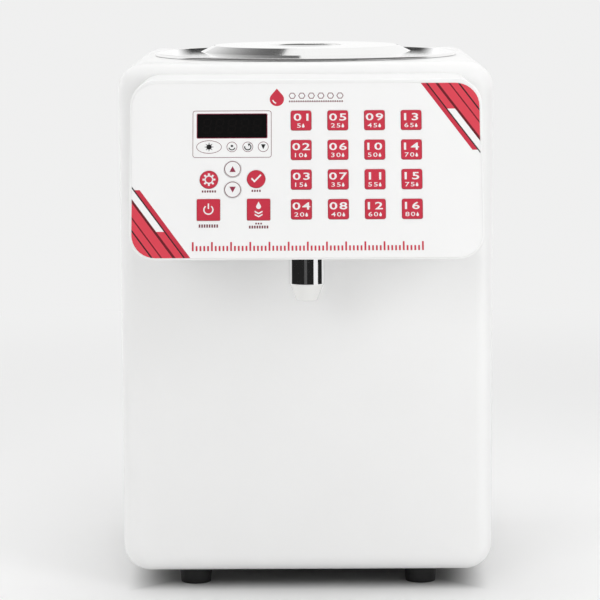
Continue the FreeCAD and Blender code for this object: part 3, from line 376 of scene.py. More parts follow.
def softbox(name, place, width, height, watts):
    """A rectangular lamp that faces the machine. Mirrors don't see it."""
    lamp = bpy.data.lights.new(name, "AREA")
    lamp.shape = "RECTANGLE"
    lamp.size = width
    lamp.size_y = height
    lamp.energy = watts
    holder = bpy.data.objects.new(name, lamp)
    holder.matrix_world = facing(place, machine_middle)
    holder.visible_glossy = False
    bpy.context.scene.collection.objects.link(holder)


softbox("box_right", (1.4, -1.52, 0.85), width=1.05, height=1.7, watts=16)
softbox("box_front_left", (-1.1, -2.35, 1.0), width=1.0, height=0.9, watts=10)
softbox("box_left", (-2.15, 0, 0.65), width=1.0, height=1.0, watts=11)
softbox("box_above", (0.1, 0.1, 2.1), width=2.6, height=2.2, watts=27)
print("softboxes:", len(bpy.data.lights))

# %% [markdown]
# ## Cards for the mirrors
# Polish shows what stands round it, so cards that only mirrors see stand where the metal needs them. A
# bright one at the right draws the white strip down the nozzle's sleeve, and a dim one in front lifts
# the black beside it. Two grey ones in front tone the lid's edge. Two nearly black ones behind fade
# outwards into the backdrop and draw the dark in the lid's rim. One high at the left runs from light to
# dark and shades the lid's cone. Each glows by itself, so no lamp's place matters to it.

# %% Cards
tank_low, tank_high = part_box("syrup_tank")
tank_axis = ((tank_low.x + tank_high.x) / 2, (tank_low.y + tank_high.y) / 2, 0)
sleeve_low, sleeve_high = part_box("nozzle_sleeve")
nozzle_axis = ((sleeve_low.x + sleeve_high.x) / 2, (sleeve_low.y + sleeve_high.y) / 2, 0)
lid_middle = Vector((0, tank_axis[1], cabinet_high.z))
nozzle_middle = Vector((0, nozzle_axis[1], sleeve_low.z))


def out_from(centre, turn, rise, distance):
    """A point seen from a centre: turned from straight behind to the right, and raised, in degrees."""
    turn, rise = math.radians(turn), math.radians(rise)
    level = math.cos(rise)
    return centre + distance * Vector((math.sin(turn) * level, math.cos(turn) * level, math.sin(rise)))


def card(name, place, aim, width, height, foot, head=None, fades=None):
    """A card that only mirrors see. Its glow may change from foot to head, or fade out to one side."""
    paper = Finish(name, {})
    paper.tree.nodes.remove(paper.shader)
    across, up, _ = paper.axes(paper.here())
    glow = foot
    if head is not None:
        glow = foot + paper.step(up, -height / 2, height / 2) * (head - foot)
    if fades is not None:
        glow = glow + paper.step(across * fades, 0, width / 2) * (REAR_GLOW - glow)
    paper.show(paper.node("ShaderNodeEmission", {}, {"Color": (1, 1, 1), "Strength": glow}))
    made = sheet_of(name, width, height, facing(place, aim), paper.material)
    made.visible_camera = False
    made.visible_diffuse = False
    made.visible_shadow = False
    made.visible_transmission = False


upper_left = out_from(lid_middle, turn=-13.5, rise=33.5, distance=1.6)
card("card_upper_left", upper_left, lid_middle, width=0.45, height=1.2, foot=0.82, head=0.12)
for side, turn, fades in (("left", -3.25, 1), ("right", 3.25, -1)):
    rear = out_from(lid_middle, turn, rise=1.05, distance=6)
    card("card_rear_" + side, rear, lid_middle, width=0.11, height=0.534, foot=0.02, fades=fades)
for side, across in (("left", -1.5), ("right", 1.59)):
    front = Vector((across, -4.2, 0.19))
    card("card_front_" + side, front, front + Vector((0, 1, 0)), width=3, height=0.3, foot=0.42)
right = out_from(nozzle_middle, turn=121, rise=0, distance=1.2)
card("card_right", right, nozzle_middle, width=0.65, height=0.46, foot=0.95)
glint = out_from(nozzle_middle, turn=187, rise=-6, distance=1.3)
card("card_glint", glint, nozzle_middle, width=0.4, height=0.2, foot=0.09)

# %% [markdown]
# ## Paint and moulded skins
# The cabinet is powder-coated steel: the powder melts into a skin with a faint orange peel. The head is
# moulded, with a finer grain and no peel. Rubber, silicone and the plastics inside differ only in tint,
# gloss and grain, so one function makes them all, and a table gives each one its look: two tints that
# clouds of noise mix, the roughness, the size of the grain, its depth, and a clear coat if it has one.

# %% Skins
WHITE_CLEAR = {"Coat Weight": 0.3, "Coat Roughness": 0.16}
SATIN = {"Coat Weight": 0.15, "Coat Roughness": 0.3}
POLISHED = {"Coat Weight": 1.0, "Coat Roughness": 0.06}
BARE = {}
CLOUD = 70 * MM
SKINS = {
    "cabinet_paint": ((0.86, 0.86, 0.857), (0.835, 0.835, 0.832), 0.40, 1.6 * MM, 0.010 * MM, WHITE_CLEAR),
    "head_plastic": ((0.855, 0.855, 0.852), (0.835, 0.835, 0.832), 0.42, 0.5 * MM, 0.004 * MM, WHITE_CLEAR),
    "panel_film": ((0.865, 0.865, 0.862), (0.85, 0.85, 0.848), 0.33, 0.35 * MM, 0.0015 * MM, SATIN),
    "key_white": ((0.85, 0.85, 0.848), (0.83, 0.83, 0.828), 0.33, 0.35 * MM, 0.0015 * MM, SATIN),
    "foot_rubber": ((0.005, 0.005, 0.0055), (0.01, 0.01, 0.01), 0.6, 0.9 * MM, 0.04 * MM, BARE),
    "seal_rubber": ((0.62, 0.62, 0.6), (0.55, 0.55, 0.53), 0.5, 1.2 * MM, 0.02 * MM, BARE),
    "heater_rubber": ((0.36, 0.07, 0.03), (0.28, 0.05, 0.025), 0.6, 1.5 * MM, 0.05 * MM, BARE),
    "module_black": ((0.02, 0.02, 0.021), (0.03, 0.03, 0.03), 0.5, 0.6 * MM, 0.01 * MM, BARE),
    "motor_black": ((0.022, 0.022, 0.024), (0.035, 0.035, 0.036), 0.38, 1.2 * MM, 0.01 * MM, SATIN),
    "socket_black": ((0.018, 0.018, 0.019), (0.028, 0.028, 0.028), 0.46, 0.5 * MM, 0.008 * MM, BARE),
    "rocker_red": ((0.52, 0.02, 0.018), (0.45, 0.015, 0.015), 0.28, 0.8 * MM, 0.004 * MM, WHITE_CLEAR),
    "valve_plastic": ((0.74, 0.73, 0.69), (0.68, 0.67, 0.63), 0.4, 0.8 * MM, 0.006 * MM, BARE),
    "nozzle_plastic": ((0.77, 0.77, 0.755), (0.74, 0.74, 0.725), 0.3, 0.6 * MM, 0.002 * MM, POLISHED),
    "hose_silicone": ((0.7, 0.7, 0.66), (0.6, 0.6, 0.57), 0.36, 2.5 * MM, 0.02 * MM, SATIN),
}


def skin(name, colour, shade, roughness, grain, depth, coat):
    """A painted or moulded skin: a cloudy tint, an uneven gloss and a fine grain."""
    made = Finish(name, coat)
    clouds = made.noise(CLOUD)
    speckle = made.noise(grain, 3)
    made.set("Base Color", made.mix(clouds, colour, shade))
    made.roughen(roughness, (clouds, 0.1), (speckle, 0.08))
    made.raise_by(speckle, depth)
    return made


finishes = {name: skin(name, *look) for name, look in SKINS.items()}
print("skins:", len(finishes))

# %% [markdown]
# ## Worked metals
# Sheet and turned metal shows how it was worked. A rolled or brushed sheet has fine lines one way, so
# its noise is stretched along that way. A spun or turned piece has rings round its axis, so its noise
# reads the distance from that axis. A bright zinc coat shows crystals, which Voronoi cells imitate. Each
# is full metal. Only roughness, a little tint and a very shallow bump tell them apart. Two tables give
# each metal its colour, its roughness, the axis or the way of its lines, and their size and depth.

# %% Metals
STAIN = 45 * MM
SMEAR = 30 * MM
SCRATCH = 2 * MM
SCRATCH_STRETCH = (6, 0.4, 1)
SCRATCH_TURN = (0, 0, 0.7)
SCRATCH_PEAKS = (0.68, 0.74)


def dimmed(colour, share):
    """A colour, lowered to a share of itself."""
    return tuple(part * share for part in colour)


def brushed(name, colour, roughness, stretch, line=0.7 * MM, depth=0.004 * MM):
    """Metal with fine lines: stretch is small along the way that it was worked."""
    made = Finish(name, {"Metallic": 1})
    lines = made.noise(line, 3, made.here(stretch))
    stains = made.noise(STAIN)
    made.set("Base Color", made.mix(stains, colour, dimmed(colour, 0.93)))
    made.roughen(roughness, (lines, 0.16), (stains, 0.06))
    made.raise_by(lines, depth)
    return made


def turned(name, colour, roughness, axis, ring, depth, swirl):
    """Metal that was spun or polished round an upright axis: rings, and a few hairline scratches."""
    made = Finish(name, {"Metallic": 1})
    across, along, up = made.axes(made.here(centre=axis))
    radius = made.maths("SQRT", across * across + along * along)
    rings = made.noise(ring, 3, made.vector(radius, up))
    smears = made.noise(SMEAR)
    scratches = made.noise(SCRATCH, 2, made.here(SCRATCH_STRETCH, axis, SCRATCH_TURN))
    fine = made.step(scratches, *SCRATCH_PEAKS)
    made.set("Base Color", made.mix(smears, colour, dimmed(colour, 0.95)))
    made.roughen(roughness + fine * 0.05, (rings, swirl), (smears, 0.05))
    made.raise_by(rings, depth)
    return made


def spangled(name, colour, roughness, crystal):
    """Zinc-coated sheet: flat crystals that differ in tint and gloss."""
    made = Finish(name, {"Metallic": 1})
    cell = made.node("ShaderNodeTexVoronoi", {}, {"Vector": made.here(), "Scale": 1 / crystal}, out="Color")
    shade = made.axes(cell)[0]
    made.set("Base Color", made.mix(shade, colour, dimmed(colour, 0.8)))
    made.roughen(roughness, (shade, 0.15))
    made.raise_by(made.noise(1.5 * MM, 3), 0.01 * MM)
    return made


EVEN = (1, 1, 1)
UPRIGHT = (1, 1, 0.03)
ACROSS = (0.03, 1, 1)
TURNED = {
    "lid_steel": ((0.93, 0.93, 0.925), 0.075, tank_axis, 0.5 * MM, 0.0005 * MM, 0.03),
    "tank_steel": ((0.74, 0.74, 0.73), 0.26, tank_axis, 0.8 * MM, 0.004 * MM, 0.16),
    "nozzle_chrome": ((0.92, 0.92, 0.925), 0.05, nozzle_axis, 0.3 * MM, 0.0004 * MM, 0.02),
}
BRUSHED = {
    "screw_steel": ((0.66, 0.66, 0.66), 0.28, EVEN, 0.5 * MM),
    "pump_metal": ((0.62, 0.61, 0.6), 0.36, ACROSS),
    "gear_steel": ((0.5, 0.5, 0.51), 0.3, ACROSS, 0.4 * MM),
    "spring_steel": ((0.6, 0.6, 0.6), 0.3, EVEN, 0.3 * MM),
    "supply_case": ((0.7, 0.7, 0.7), 0.42, ACROSS),
    "nut_brass": ((0.72, 0.52, 0.22), 0.3, UPRIGHT),
}
finishes.update({name: turned(name, *look) for name, look in TURNED.items()})
finishes.update({name: brushed(name, *look) for name, look in BRUSHED.items()})
finishes["zinc_steel"] = spangled("zinc_steel", (0.62, 0.63, 0.64), 0.4, 9 * MM)
print("finishes so far:", len(finishes))

# %% [markdown]
# ## The panel's own frame
# The panel leans back by 20 degrees, so nothing on it is upright. All that is printed there is easier to
# place in a frame that leans with it: across, up along the face, and out of the face. Its origin is the
# middle of the film, which comes from the film's own corners, measured along the leaning directions.

# %% A frame that leans with the panel
PANEL_TURN = math.radians(70)
FACE_DEPTH = 0.5 * MM
tilt = Matrix.Rotation(PANEL_TURN, 4, "X")


def box_along(node, turned_frame, depth=1.0):
    """A solid's lowest and highest corners in another frame, down to a depth behind its foremost point."""
    back = turned_frame.inverted()
    points = [back @ vertex.co for vertex in solids[node].data.vertices]
    foremost = max(point.z for point in points)
    points = [point for point in points if point.z > foremost - depth]
    return Vector([min(part) for part in zip(*points)]), Vector([max(part) for part in zip(*points)])


film_low, film_high = box_along("control_overlay", tilt)
film_middle = ((film_low.x + film_high.x) / 2, (film_low.y + film_high.y) / 2, film_high.z)
panel = tilt @ Matrix.Translation(film_middle)
film_half_width = (film_high.x - film_low.x) / 2
film_half_height = (film_high.y - film_low.y) / 2
window_low, window_high = box_along("display_window", panel, FACE_DEPTH)


def on_panel(finish, centre=(0, 0)):
    """A shader's place on the panel: across, up and out, from a centre on the face."""
    origin = panel @ Vector((*centre, 0))
    return finish.axes(finish.here(centre=origin, turn=(-PANEL_TURN, 0, 0)))


print("film in mm:", round(2 * film_half_width / MM, 1), "by", round(2 * film_half_height / MM, 1))

# %% [markdown]
# ## Key film and inks
# The red keys are film over moulded caps: a crimson ink that is a little cloudy, under a satin skin.
# The other inks lie bare on the film. They share one grain, too fine to see from far, and differ in
# their two tints and their roughness.

# %% Inks
CRIMSON = (0.60, 0.036, 0.068)
CRIMSON_DEEP = (0.50, 0.024, 0.05)
INK_SKIN = (0.3 * MM, 0.001 * MM, BARE)
INKS = {
    "ink_red": (CRIMSON, CRIMSON_DEEP, 0.36),
    "ink_deep_red": ((0.16, 0.012, 0.02), (0.12, 0.01, 0.016), 0.36),
    "ink_scarlet": ((0.72, 0.062, 0.095), (0.62, 0.045, 0.07), 0.36),
    "ink_wine": ((0.30, 0.03, 0.07), (0.25, 0.025, 0.06), 0.36),
    "ink_plum": ((0.20, 0.05, 0.065), (0.15, 0.035, 0.05), 0.36),
    "ink_black": ((0.012, 0.011, 0.012), (0.02, 0.018, 0.019), 0.4),
    "ink_white": ((0.84, 0.82, 0.82), (0.80, 0.78, 0.78), 0.4),
}
finishes["key_red"] = skin("key_red", CRIMSON, CRIMSON_DEEP, 0.30, 0.4 * MM, 0.002 * MM, SATIN)
finishes.update({name: skin(name, *look, *INK_SKIN) for name, look in INKS.items()})
print("inks:", len(INKS))

# %% [markdown]
# ## Display glass
# The display is smoked acrylic. With the power off it is black, and only from close by do the unlit
# segments of the digits show. They are drawn by distances: a point belongs to a bar when its distance
# from the bar's middle line is under half the bar's width. A modulo repeats one digit along the row.

# %% Smoked glass
GLASS = {"Roughness": 0.12, "Specular IOR Level": 0.25, "Coat Weight": 0.2, "Coat Roughness": 0.04}
glass_black = (0.0016, 0.0015, 0.0016)
segment_grey = (0.005, 0.004, 0.004)
digits = 5
digit_pitch = 8.8 * MM
digit_half_height = 4.9 * MM
digit_half_width = 2.5 * MM
digit_slant = 0.12
bar_half = 0.5 * MM
bar_trim = 1.3 * bar_half


def smoked_glass(name):
    """Black acrylic with the unlit digits faintly under it."""
    glass = Finish(name, GLASS)
    centre = ((window_low.x + window_high.x) / 2, (window_low.y + window_high.y) / 2)
    across, up, _ = on_panel(glass, centre)
    row_half = digits * digit_pitch / 2
    in_cell = abs((across - up * digit_slant + row_half) % digit_pitch - digit_pitch / 2)
    height = abs(up)
    from_level_bars = glass.maths("MINIMUM", height, abs(height - digit_half_height))
    level_bars = (from_level_bars < bar_half) * (in_cell < digit_half_width - bar_half)
    tall_half = digit_half_height / 2
    along_tall_bars = abs(height - tall_half) < tall_half - bar_trim
    tall_bars = (abs(in_cell - digit_half_width) < bar_half) * along_tall_bars
    unlit = glass.maths("MAXIMUM", level_bars, tall_bars) * (abs(across) < row_half)
    glass.set("Base Color", glass.mix(unlit, glass_black, segment_grey))
    glass.raise_by(glass.noise(4 * MM, 1), 0.002 * MM)
    return glass


finishes["display_glass"] = smoked_glass("display_glass")
print("unlit digits:", digits)

# %% [markdown]
# ## Circuit board and wiring sleeve
# Both stay inside, but someone may take the cover off or cut the model open, so they get their real look
# too. The board is a green mask over copper tracks, a grid whose lines come and go with noise. The
# sleeve is braided: two sets of slanting waves, multiplied, give the over-and-under of the weave.

# %% Board and sleeve
track_pitch = 2.5 * MM
track_half = track_pitch / 6
upright_tracks_from = 0.52
level_tracks_up_to = 0.46
braid_pitch = 1.6 * MM


def striped(value, pitch, half):
    """1 in a stripe in the middle of each pitch, and 0 beside it."""
    return abs(value % pitch - pitch / 2) < half


def circuit_board(name):
    """Green mask over raised tracks, upright in some regions and level in others."""
    board = Finish(name, {"Roughness": 0.32, "Coat Weight": 0.3, "Coat Roughness": 0.2})
    across, up, _ = on_panel(board)
    regions = board.noise(9 * MM, 1)
    upright = striped(across, track_pitch, track_half) * (regions > upright_tracks_from)
    level = striped(up, track_pitch, track_half) * (regions < level_tracks_up_to)
    tracks = board.maths("MAXIMUM", upright, level)
    board.set("Base Color", board.mix(tracks, (0.012, 0.09, 0.04), (0.03, 0.2, 0.07)))
    board.raise_by(tracks, 0.03 * MM)
    return board


def braided_sleeve(name):
    """Black braid: threads that slant one way over and under threads that slant the other way."""
    sleeve = Finish(name, {"Roughness": 0.6})
    across, along, up = sleeve.axes(sleeve.here())
    turns = 2 * math.pi / braid_pitch
    one_way = sleeve.maths("SINE", (across + along + up) * turns)
    other_way = sleeve.maths("SINE", (across - along - up) * turns)
    weave = one_way * other_way * 0.5 + 0.5
    sleeve.set("Base Color", sleeve.mix(weave, (0.01, 0.01, 0.011), (0.04, 0.04, 0.042)))
    sleeve.raise_by(weave, 0.2 * MM)
    return sleeve


finishes["board_green"] = circuit_board("board_green")
finishes["harness_sleeve"] = braided_sleeve("harness_sleeve")
print("finishes:", len(finishes))

# %% [markdown]
# ## Giving each solid its finish
# The record names a slot for each solid. The finishes carry the same names, so the whole machine is
# dressed by one loop, and a finish that is missing stops the script at once.

# %% Dress the solids
slot_of = {part["node"]: part["material_slot"] for part in frame["record"]["subparts"]}
for node, solid in solids.items():
    for place in solid.material_slots:
        place.material = finishes[slot_of[node]].material
print("dressed:", len(slot_of), "solids in", len(set(slot_of.values())), "finishes")

# %% [markdown]
# ## A spring that gives
# The check valve slides down to open, and its collar presses the spring together. A rigid solid can't
# shorten, so a copy of the spring's mesh, with a mesh of its own, takes the solid's place on the
# machine's body, and the solid itself is hidden.

# %% Valve spring
coil = bpy.data.objects.new("valve_coil", solids["valve_spring"].data.copy())
bpy.context.scene.collection.objects.link(coil)
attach(coil, "root")
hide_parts("valve_spring")
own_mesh(coil)

# %% [markdown]
# ## Ink on the film
# Screen print lies on the film as a skin of ink, a twentieth of a millimetre thick. A thin solid of ink
# keeps its edge at any distance, needs no picture file, and rides on the key that it is printed on, so a
# pressed key takes its figures with it. Flat outlines are its start: Blender fills the space inside a
# closed one, and an outline within another cuts a hole, so a ring is two circles.

# %% Outlines
QUARTER_POINTS = 9


def polar(radius, angle, centre=(0, 0), flatten=1):
    """A point at a distance and an angle in degrees from a centre, lowered for an oval."""
    turn = math.radians(angle)
    return centre[0] + radius * math.cos(turn), centre[1] + radius * flatten * math.sin(turn)


def arc(centre, radius, start, end, flatten=1):
    """Points along an arc between two angles in degrees."""
    steps = max(2, round(abs(end - start) / 90 * QUARTER_POINTS))
    angles = [start + (end - start) * step / steps for step in range(steps + 1)]
    return [polar(radius, angle, centre, flatten) for angle in angles]


def disc(centre, radius, flatten=1):
    """A circle or an oval."""
    return arc(centre, radius, 0, 360, flatten)[:-1]


def ring(centre, radius, line, flatten=1):
    """Two outlines with a line's width between them."""
    inner = radius - line
    return disc(centre, radius, flatten), disc(centre, inner, (radius * flatten - line) / inner)


def bow(centre, outer, inner, start, end):
    """A curved stroke: out along one arc and back along another."""
    return arc(centre, outer, start, end) + arc(centre, inner, end, start)


def rounded(low, high, corner):
    """A rectangle with round corners, from its lowest to its highest corner."""
    (left, bottom), (right, top) = low, high
    points = []
    for start, x, y in ((0, right, top), (90, left, top), (180, left, bottom), (270, right, bottom)):
        inward = (x + (corner if x == left else -corner), y + (corner if y == bottom else -corner))
        points += arc(inward, corner, start, start + 90)
    return points


def frame_line(low, high, corner, line):
    """A rounded frame: its outer outline and its inner one."""
    inner_low = (low[0] + line, low[1] + line)
    inner_high = (high[0] - line, high[1] - line)
    return rounded(low, high, corner), rounded(inner_low, inner_high, corner - line)


def bar(start, end, width):
    """A straight stroke between two points."""
    along = (Vector(end) - Vector(start)).normalized() * width / 2
    side = Vector((-along.y, along.x))
    corners = ((start, 1), (start, -1), (end, -1), (end, 1))
    return [tuple(Vector(point) + side * hand) for point, hand in corners]


def spokes(count, centre, start, end, width):
    """Strokes that stand evenly round a centre, between two distances from it."""
    angles = [360 / count * number for number in range(count)]
    return [bar(polar(start, angle, centre), polar(end, angle, centre), width) for angle in angles]


def drop(centre, radius, tip):
    """A drop of syrup: a round belly, and a tip at a height above its centre."""
    lean = math.degrees(math.acos(radius / tip))
    return arc(centre, radius, 90 + lean, 450 - lean) + [(centre[0], centre[1] + tip)]


def wedge(centre, half_width, height):
    """A triangle that points up, or down if its height is negative."""
    low, high = centre[1] - height / 2, centre[1] + height / 2
    return [(centre[0] - half_width, low), (centre[0] + half_width, low), (centre[0], high)]


print("points in a circle:", len(disc((0, 0), 1)))

# %% [markdown]
# ## From outlines to ink
# A curve object is turned into a mesh before it is placed. Its caps and its edge come out as separate
# faces, so doubles are merged and the normals recalculated. Several shapes on one face become one mesh.
# Figures use Blender's own plain typeface, scaled to a height and widened, because the built-in figures
# are narrower than those on a keypad.

# %% Printing
INK_DEPTH = 0.05 * MM
INK_SINK = 0.01 * MM
MERGE_REACH = INK_SINK / 10
CURVE_STEPS = 3


def meshed(curve):
    """A curve's mesh; the curve isn't kept."""
    holder = bpy.data.objects.new("ink", curve)
    made = bpy.data.meshes.new_from_object(holder)
    bpy.data.objects.remove(holder)
    bpy.data.curves.remove(curve)
    return made


def filled(*outlines):
    """A mesh of ink between closed outlines."""
    curve = bpy.data.curves.new("ink", "CURVE")
    curve.dimensions = "2D"
    curve.fill_mode = "BOTH"
    curve.extrude = INK_DEPTH / 2
    for outline in outlines:
        spline = curve.splines.new("POLY")
        spline.points.add(len(outline) - 1)
        for point, (across, up) in zip(spline.points, outline):
            point.co = (across, up, 0, 1)
        spline.use_cyclic_u = True
    return meshed(curve)


def figures(text, centre, height, widen, bold=0.016, spacing=1.2):
    """Plain numerals, scaled to a height and centred on a place."""
    letters = bpy.data.curves.new("ink", "FONT")
    letters.body = text
    letters.offset = bold
    letters.space_character = spacing
    letters.resolution_u = CURVE_STEPS
    letters.extrude = 1
    made = meshed(letters)
    sides = [[vertex.co[axis] for vertex in made.vertices] for axis in range(3)]
    middle = Vector([(min(side) + max(side)) / 2 for side in sides])
    scale = height / (max(sides[1]) - min(sides[1]))
    made.transform(Matrix.Translation((*centre, 0))
                   @ Matrix.Diagonal((scale * widen, scale, INK_DEPTH / 2, 1))
                   @ Matrix.Translation(-middle))
    return made


def inked(name, face, body, slot, ink, *parts):
    """One printed piece on a face: its parts are joined, cleaned and laid on the surface."""
    joined = bmesh.new()
    for part in parts:
        joined.from_mesh(part)
        bpy.data.meshes.remove(part)
    bmesh.ops.remove_doubles(joined, verts=joined.verts, dist=MERGE_REACH)
    bmesh.ops.recalc_face_normals(joined, faces=joined.faces)
    joined.transform(face @ Matrix.Translation((0, 0, INK_DEPTH / 2 - INK_SINK)))
    mesh = bpy.data.meshes.new(name)
    joined.to_mesh(mesh)
    joined.free()
    mesh.materials.append(finishes[ink].material)
    piece = bpy.data.objects.new(name, mesh)
    bpy.context.scene.collection.objects.link(piece)
    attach(piece, body)


def on_film(name, ink, *parts):
    """Print on the film, which doesn't move."""
    inked(name, panel, "root", "panel_film", ink, *parts)


def on_key(name, key, ink, *parts):
    """Print round the middle of a key's face. It rides with the key."""
    low, high = box_along(key, panel, FACE_DEPTH)
    middle = (low + high) / 2
    face = panel @ Matrix.Translation((middle.x, middle.y, high.z))
    inked(f"{name}_{key}", face, key, slot_of[key], ink, *parts)


print("ink", INK_DEPTH / MM, "mm thick")

# %% [markdown]
# ## Figures on the dose keys
# Sixteen dose keys carry their number and, below it, the dose that each starts with: 5 ml more from one
# key to the next, with a small drop for the unit. The drop stands beside the dose's last figure, so the
# figures are made first and their right end is measured.

# %% Dose keys
dose_keys = 16
dose_step = 5
number_height = 5.3 * MM
number_widen = 1.6
number_rise = 2.3 * MM
dose_height = 3.1 * MM
dose_widen = 1.5
dose_bold = 0.005
dose_fall = 3.8 * MM
dose_shift = -1.5 * MM
drop_radius = 0.95 * MM
drop_tip = 2.2 * MM
drop_gap = 1.7 * MM
drop_line = -dose_fall - dose_height / 2 + drop_radius

for number in range(1, dose_keys + 1):
    top = figures(f"{number:02}", (0, number_rise), number_height, number_widen)
    dose = figures(str(number * dose_step), (dose_shift, -dose_fall), dose_height, dose_widen, dose_bold)
    dose_end = max(vertex.co.x for vertex in dose.vertices)
    unit = filled(drop((dose_end + drop_gap, drop_line), drop_radius, drop_tip))
    on_key("legend", f"dose_key_{number:02}", "ink_white", top, dose, unit)
print("dose keys with figures:", dose_keys, "the last one gives", dose_keys * dose_step, "ml")

# %% [markdown]
# ## Signs on the function keys
# Signs need no words: a toothed wheel for setting, a tick for storing, the on-off sign, and a drop over
# two arrow heads for pouring without a measure. Up and down are white keys with a thin ring and a wedge.
# The parts of a sign may overlap, because no seam shows within one ink.

# %% Function keys
stroke = 0.9 * MM
wheel_radius = 3.1 * MM
wheel_teeth = 8
tooth_end = 4.5 * MM
tooth_width = 1.5 * stroke
tick_corners = [(-3.6, 0.1), (-1.2, -2.6), (3.8, 2.6), (2.9, 3.4), (-1.2, -1.0), (-2.8, 0.9)]
power_gap = 38
power_radius = 3.6 * MM
power_stem_foot = 0.6 * MM
pour_drop = drop((0, 2.0 * MM), 1.7 * MM, 3.6 * MM)
arrow_heights = (-3.5 * MM, -5.7 * MM)
arrow_half = 2.7 * MM
arrow_rise = 1.5 * MM
arrow_thick = 1.2 * stroke
white_key_margin = 0.2 * MM
white_key_line = 0.42 * MM
wedge_half = 2.2 * MM
wedge_height = 4.2 * MM


def arrow(height):
    """A broad arrow head that points down."""
    upper = [(-arrow_half, height + arrow_rise), (0, height), (arrow_half, height + arrow_rise)]
    return upper + [(across, up + arrow_thick) for across, up in reversed(upper)]


teeth = spokes(wheel_teeth, (0, 0), wheel_radius - stroke / 2, tooth_end, tooth_width)
on_key("legend", "set_key", "ink_white", filled(*ring((0, 0), wheel_radius, stroke)), *map(filled, teeth))
on_key("legend", "save_key", "ink_white", filled([(across * MM, up * MM) for across, up in tick_corners]))
on_key("legend", "power_key", "ink_white",
       filled(bow((0, 0), power_radius, power_radius - stroke, 90 + power_gap, 450 - power_gap)),
       filled(bar((0, power_stem_foot), (0, power_radius + stroke), stroke)))
on_key("legend", "pour_key", "ink_white", filled(pour_drop), *map(filled, map(arrow, arrow_heights)))
for key, height in (("up_key", wedge_height), ("down_key", -wedge_height)):
    low, high = box_along(key, panel, FACE_DEPTH)
    ring_radius = (high.x - low.x) / 2 - white_key_margin
    on_key("ring", key, "ink_plum", filled(*ring((0, 0), ring_radius, white_key_line)))
    on_key("wedge", key, "ink_wine", filled(wedge((0, 0), wedge_half, height)))
print("signs on 6 keys, the rings", round(2 * ring_radius / MM, 1), "mm across")

# %% [markdown]
# ## Frame and signs round the display
# A thin rounded line frames the display and four signs under it, and a dark border runs close round the
# window. The signs stand for light, fill, pour and stop, as on many counters' machines: a sun in an oval,
# and in three rings a dot over a cup, a turning arrow and a wedge. All are placed from the display
# window, so that they follow it.

# %% Display frame and signs
frame_side = 3.25 * MM
frame_above = 2.55 * MM
frame_below = 14.4 * MM
frame_corner = 1.9 * MM
frame_stroke = 0.38 * MM
border = 0.45 * MM
border_corner = 0.9 * MM
sign_stroke = 0.38 * MM
sign_line = window_low.y - 6.6 * MM
sign_across = (11.5, 27.5, 38.6, 49.4)
sign_ring = 3.72 * MM
sun_oval = 8.9 * MM
sun_flatten = 0.536
sun_radius = 1.85 * MM
sun_rays = 8
ray_start = 1.8 * MM
ray_end = 3.1 * MM
ray_width = 0.4 * MM
dot_rise = 0.7 * MM
dot_radius = 0.85 * MM
stop_half = 1.6 * MM
stop_height = 3.6 * MM

frame_low = (window_low.x - frame_side, window_low.y - frame_below)
frame_high = (window_high.x + frame_side, window_high.y + frame_above)
on_film("display_frame_line", "ink_plum",
        filled(*frame_line(frame_low, frame_high, frame_corner, frame_stroke)))
border_low = (window_low.x - border, window_low.y - border)
border_high = (window_high.x + border, window_high.y + border)
on_film("display_border", "ink_wine", filled(*frame_line(border_low, border_high, border_corner, border)))

sun_place, fill_place, turn_place, stop_place = (
    (frame_low[0] + across * MM, sign_line) for across in sign_across)
cup = bow(fill_place, 2.5 * MM, 1.75 * MM, 195, 345)
dot = disc((fill_place[0], fill_place[1] + dot_rise), dot_radius)
turning = bow(turn_place, 2.6 * MM, 1.8 * MM, 170, 400)
turning_head = [polar(reach * MM, angle, turn_place) for reach, angle in ((0.7, 30), (3.2, 50), (2.4, 90))]
stop = wedge(stop_place, stop_half, -stop_height)
signs = [disc(sun_place, sun_radius), *spokes(sun_rays, sun_place, ray_start, ray_end, ray_width),
         dot, cup, turning, turning_head, stop]
on_film("display_signs", "ink_black", *map(filled, signs))
on_film("display_sign_rings", "ink_plum", filled(*ring(sun_place, sun_oval, sign_stroke, sun_flatten)),
        *(filled(*ring(place, sign_ring, sign_stroke)) for place in (fill_place, turn_place, stop_place)))
print("signs in a row under the display:", len(sign_across))

# %% [markdown]
# ## Rows of small bars
# Under the keys and along the foot of the film the print repeats: short bars in a row. Geometry Nodes
# make such a row once and for all. The tree has named inputs, so the long graduated rule, the short
# dashes under the keys and the bars beside the drop are the same tree with other numbers. Each bar
# stands on the row's line, and every so many bars one is taller.

# %% A tree for rows of bars
ROW_INPUTS = {
    "NodeSocketFloat": ("Pitch", "Width", "Height", "Tall Height", "Depth"),
    "NodeSocketInt": ("Count", "Tall Every"),
    "NodeSocketMaterial": ("Ink",),
}


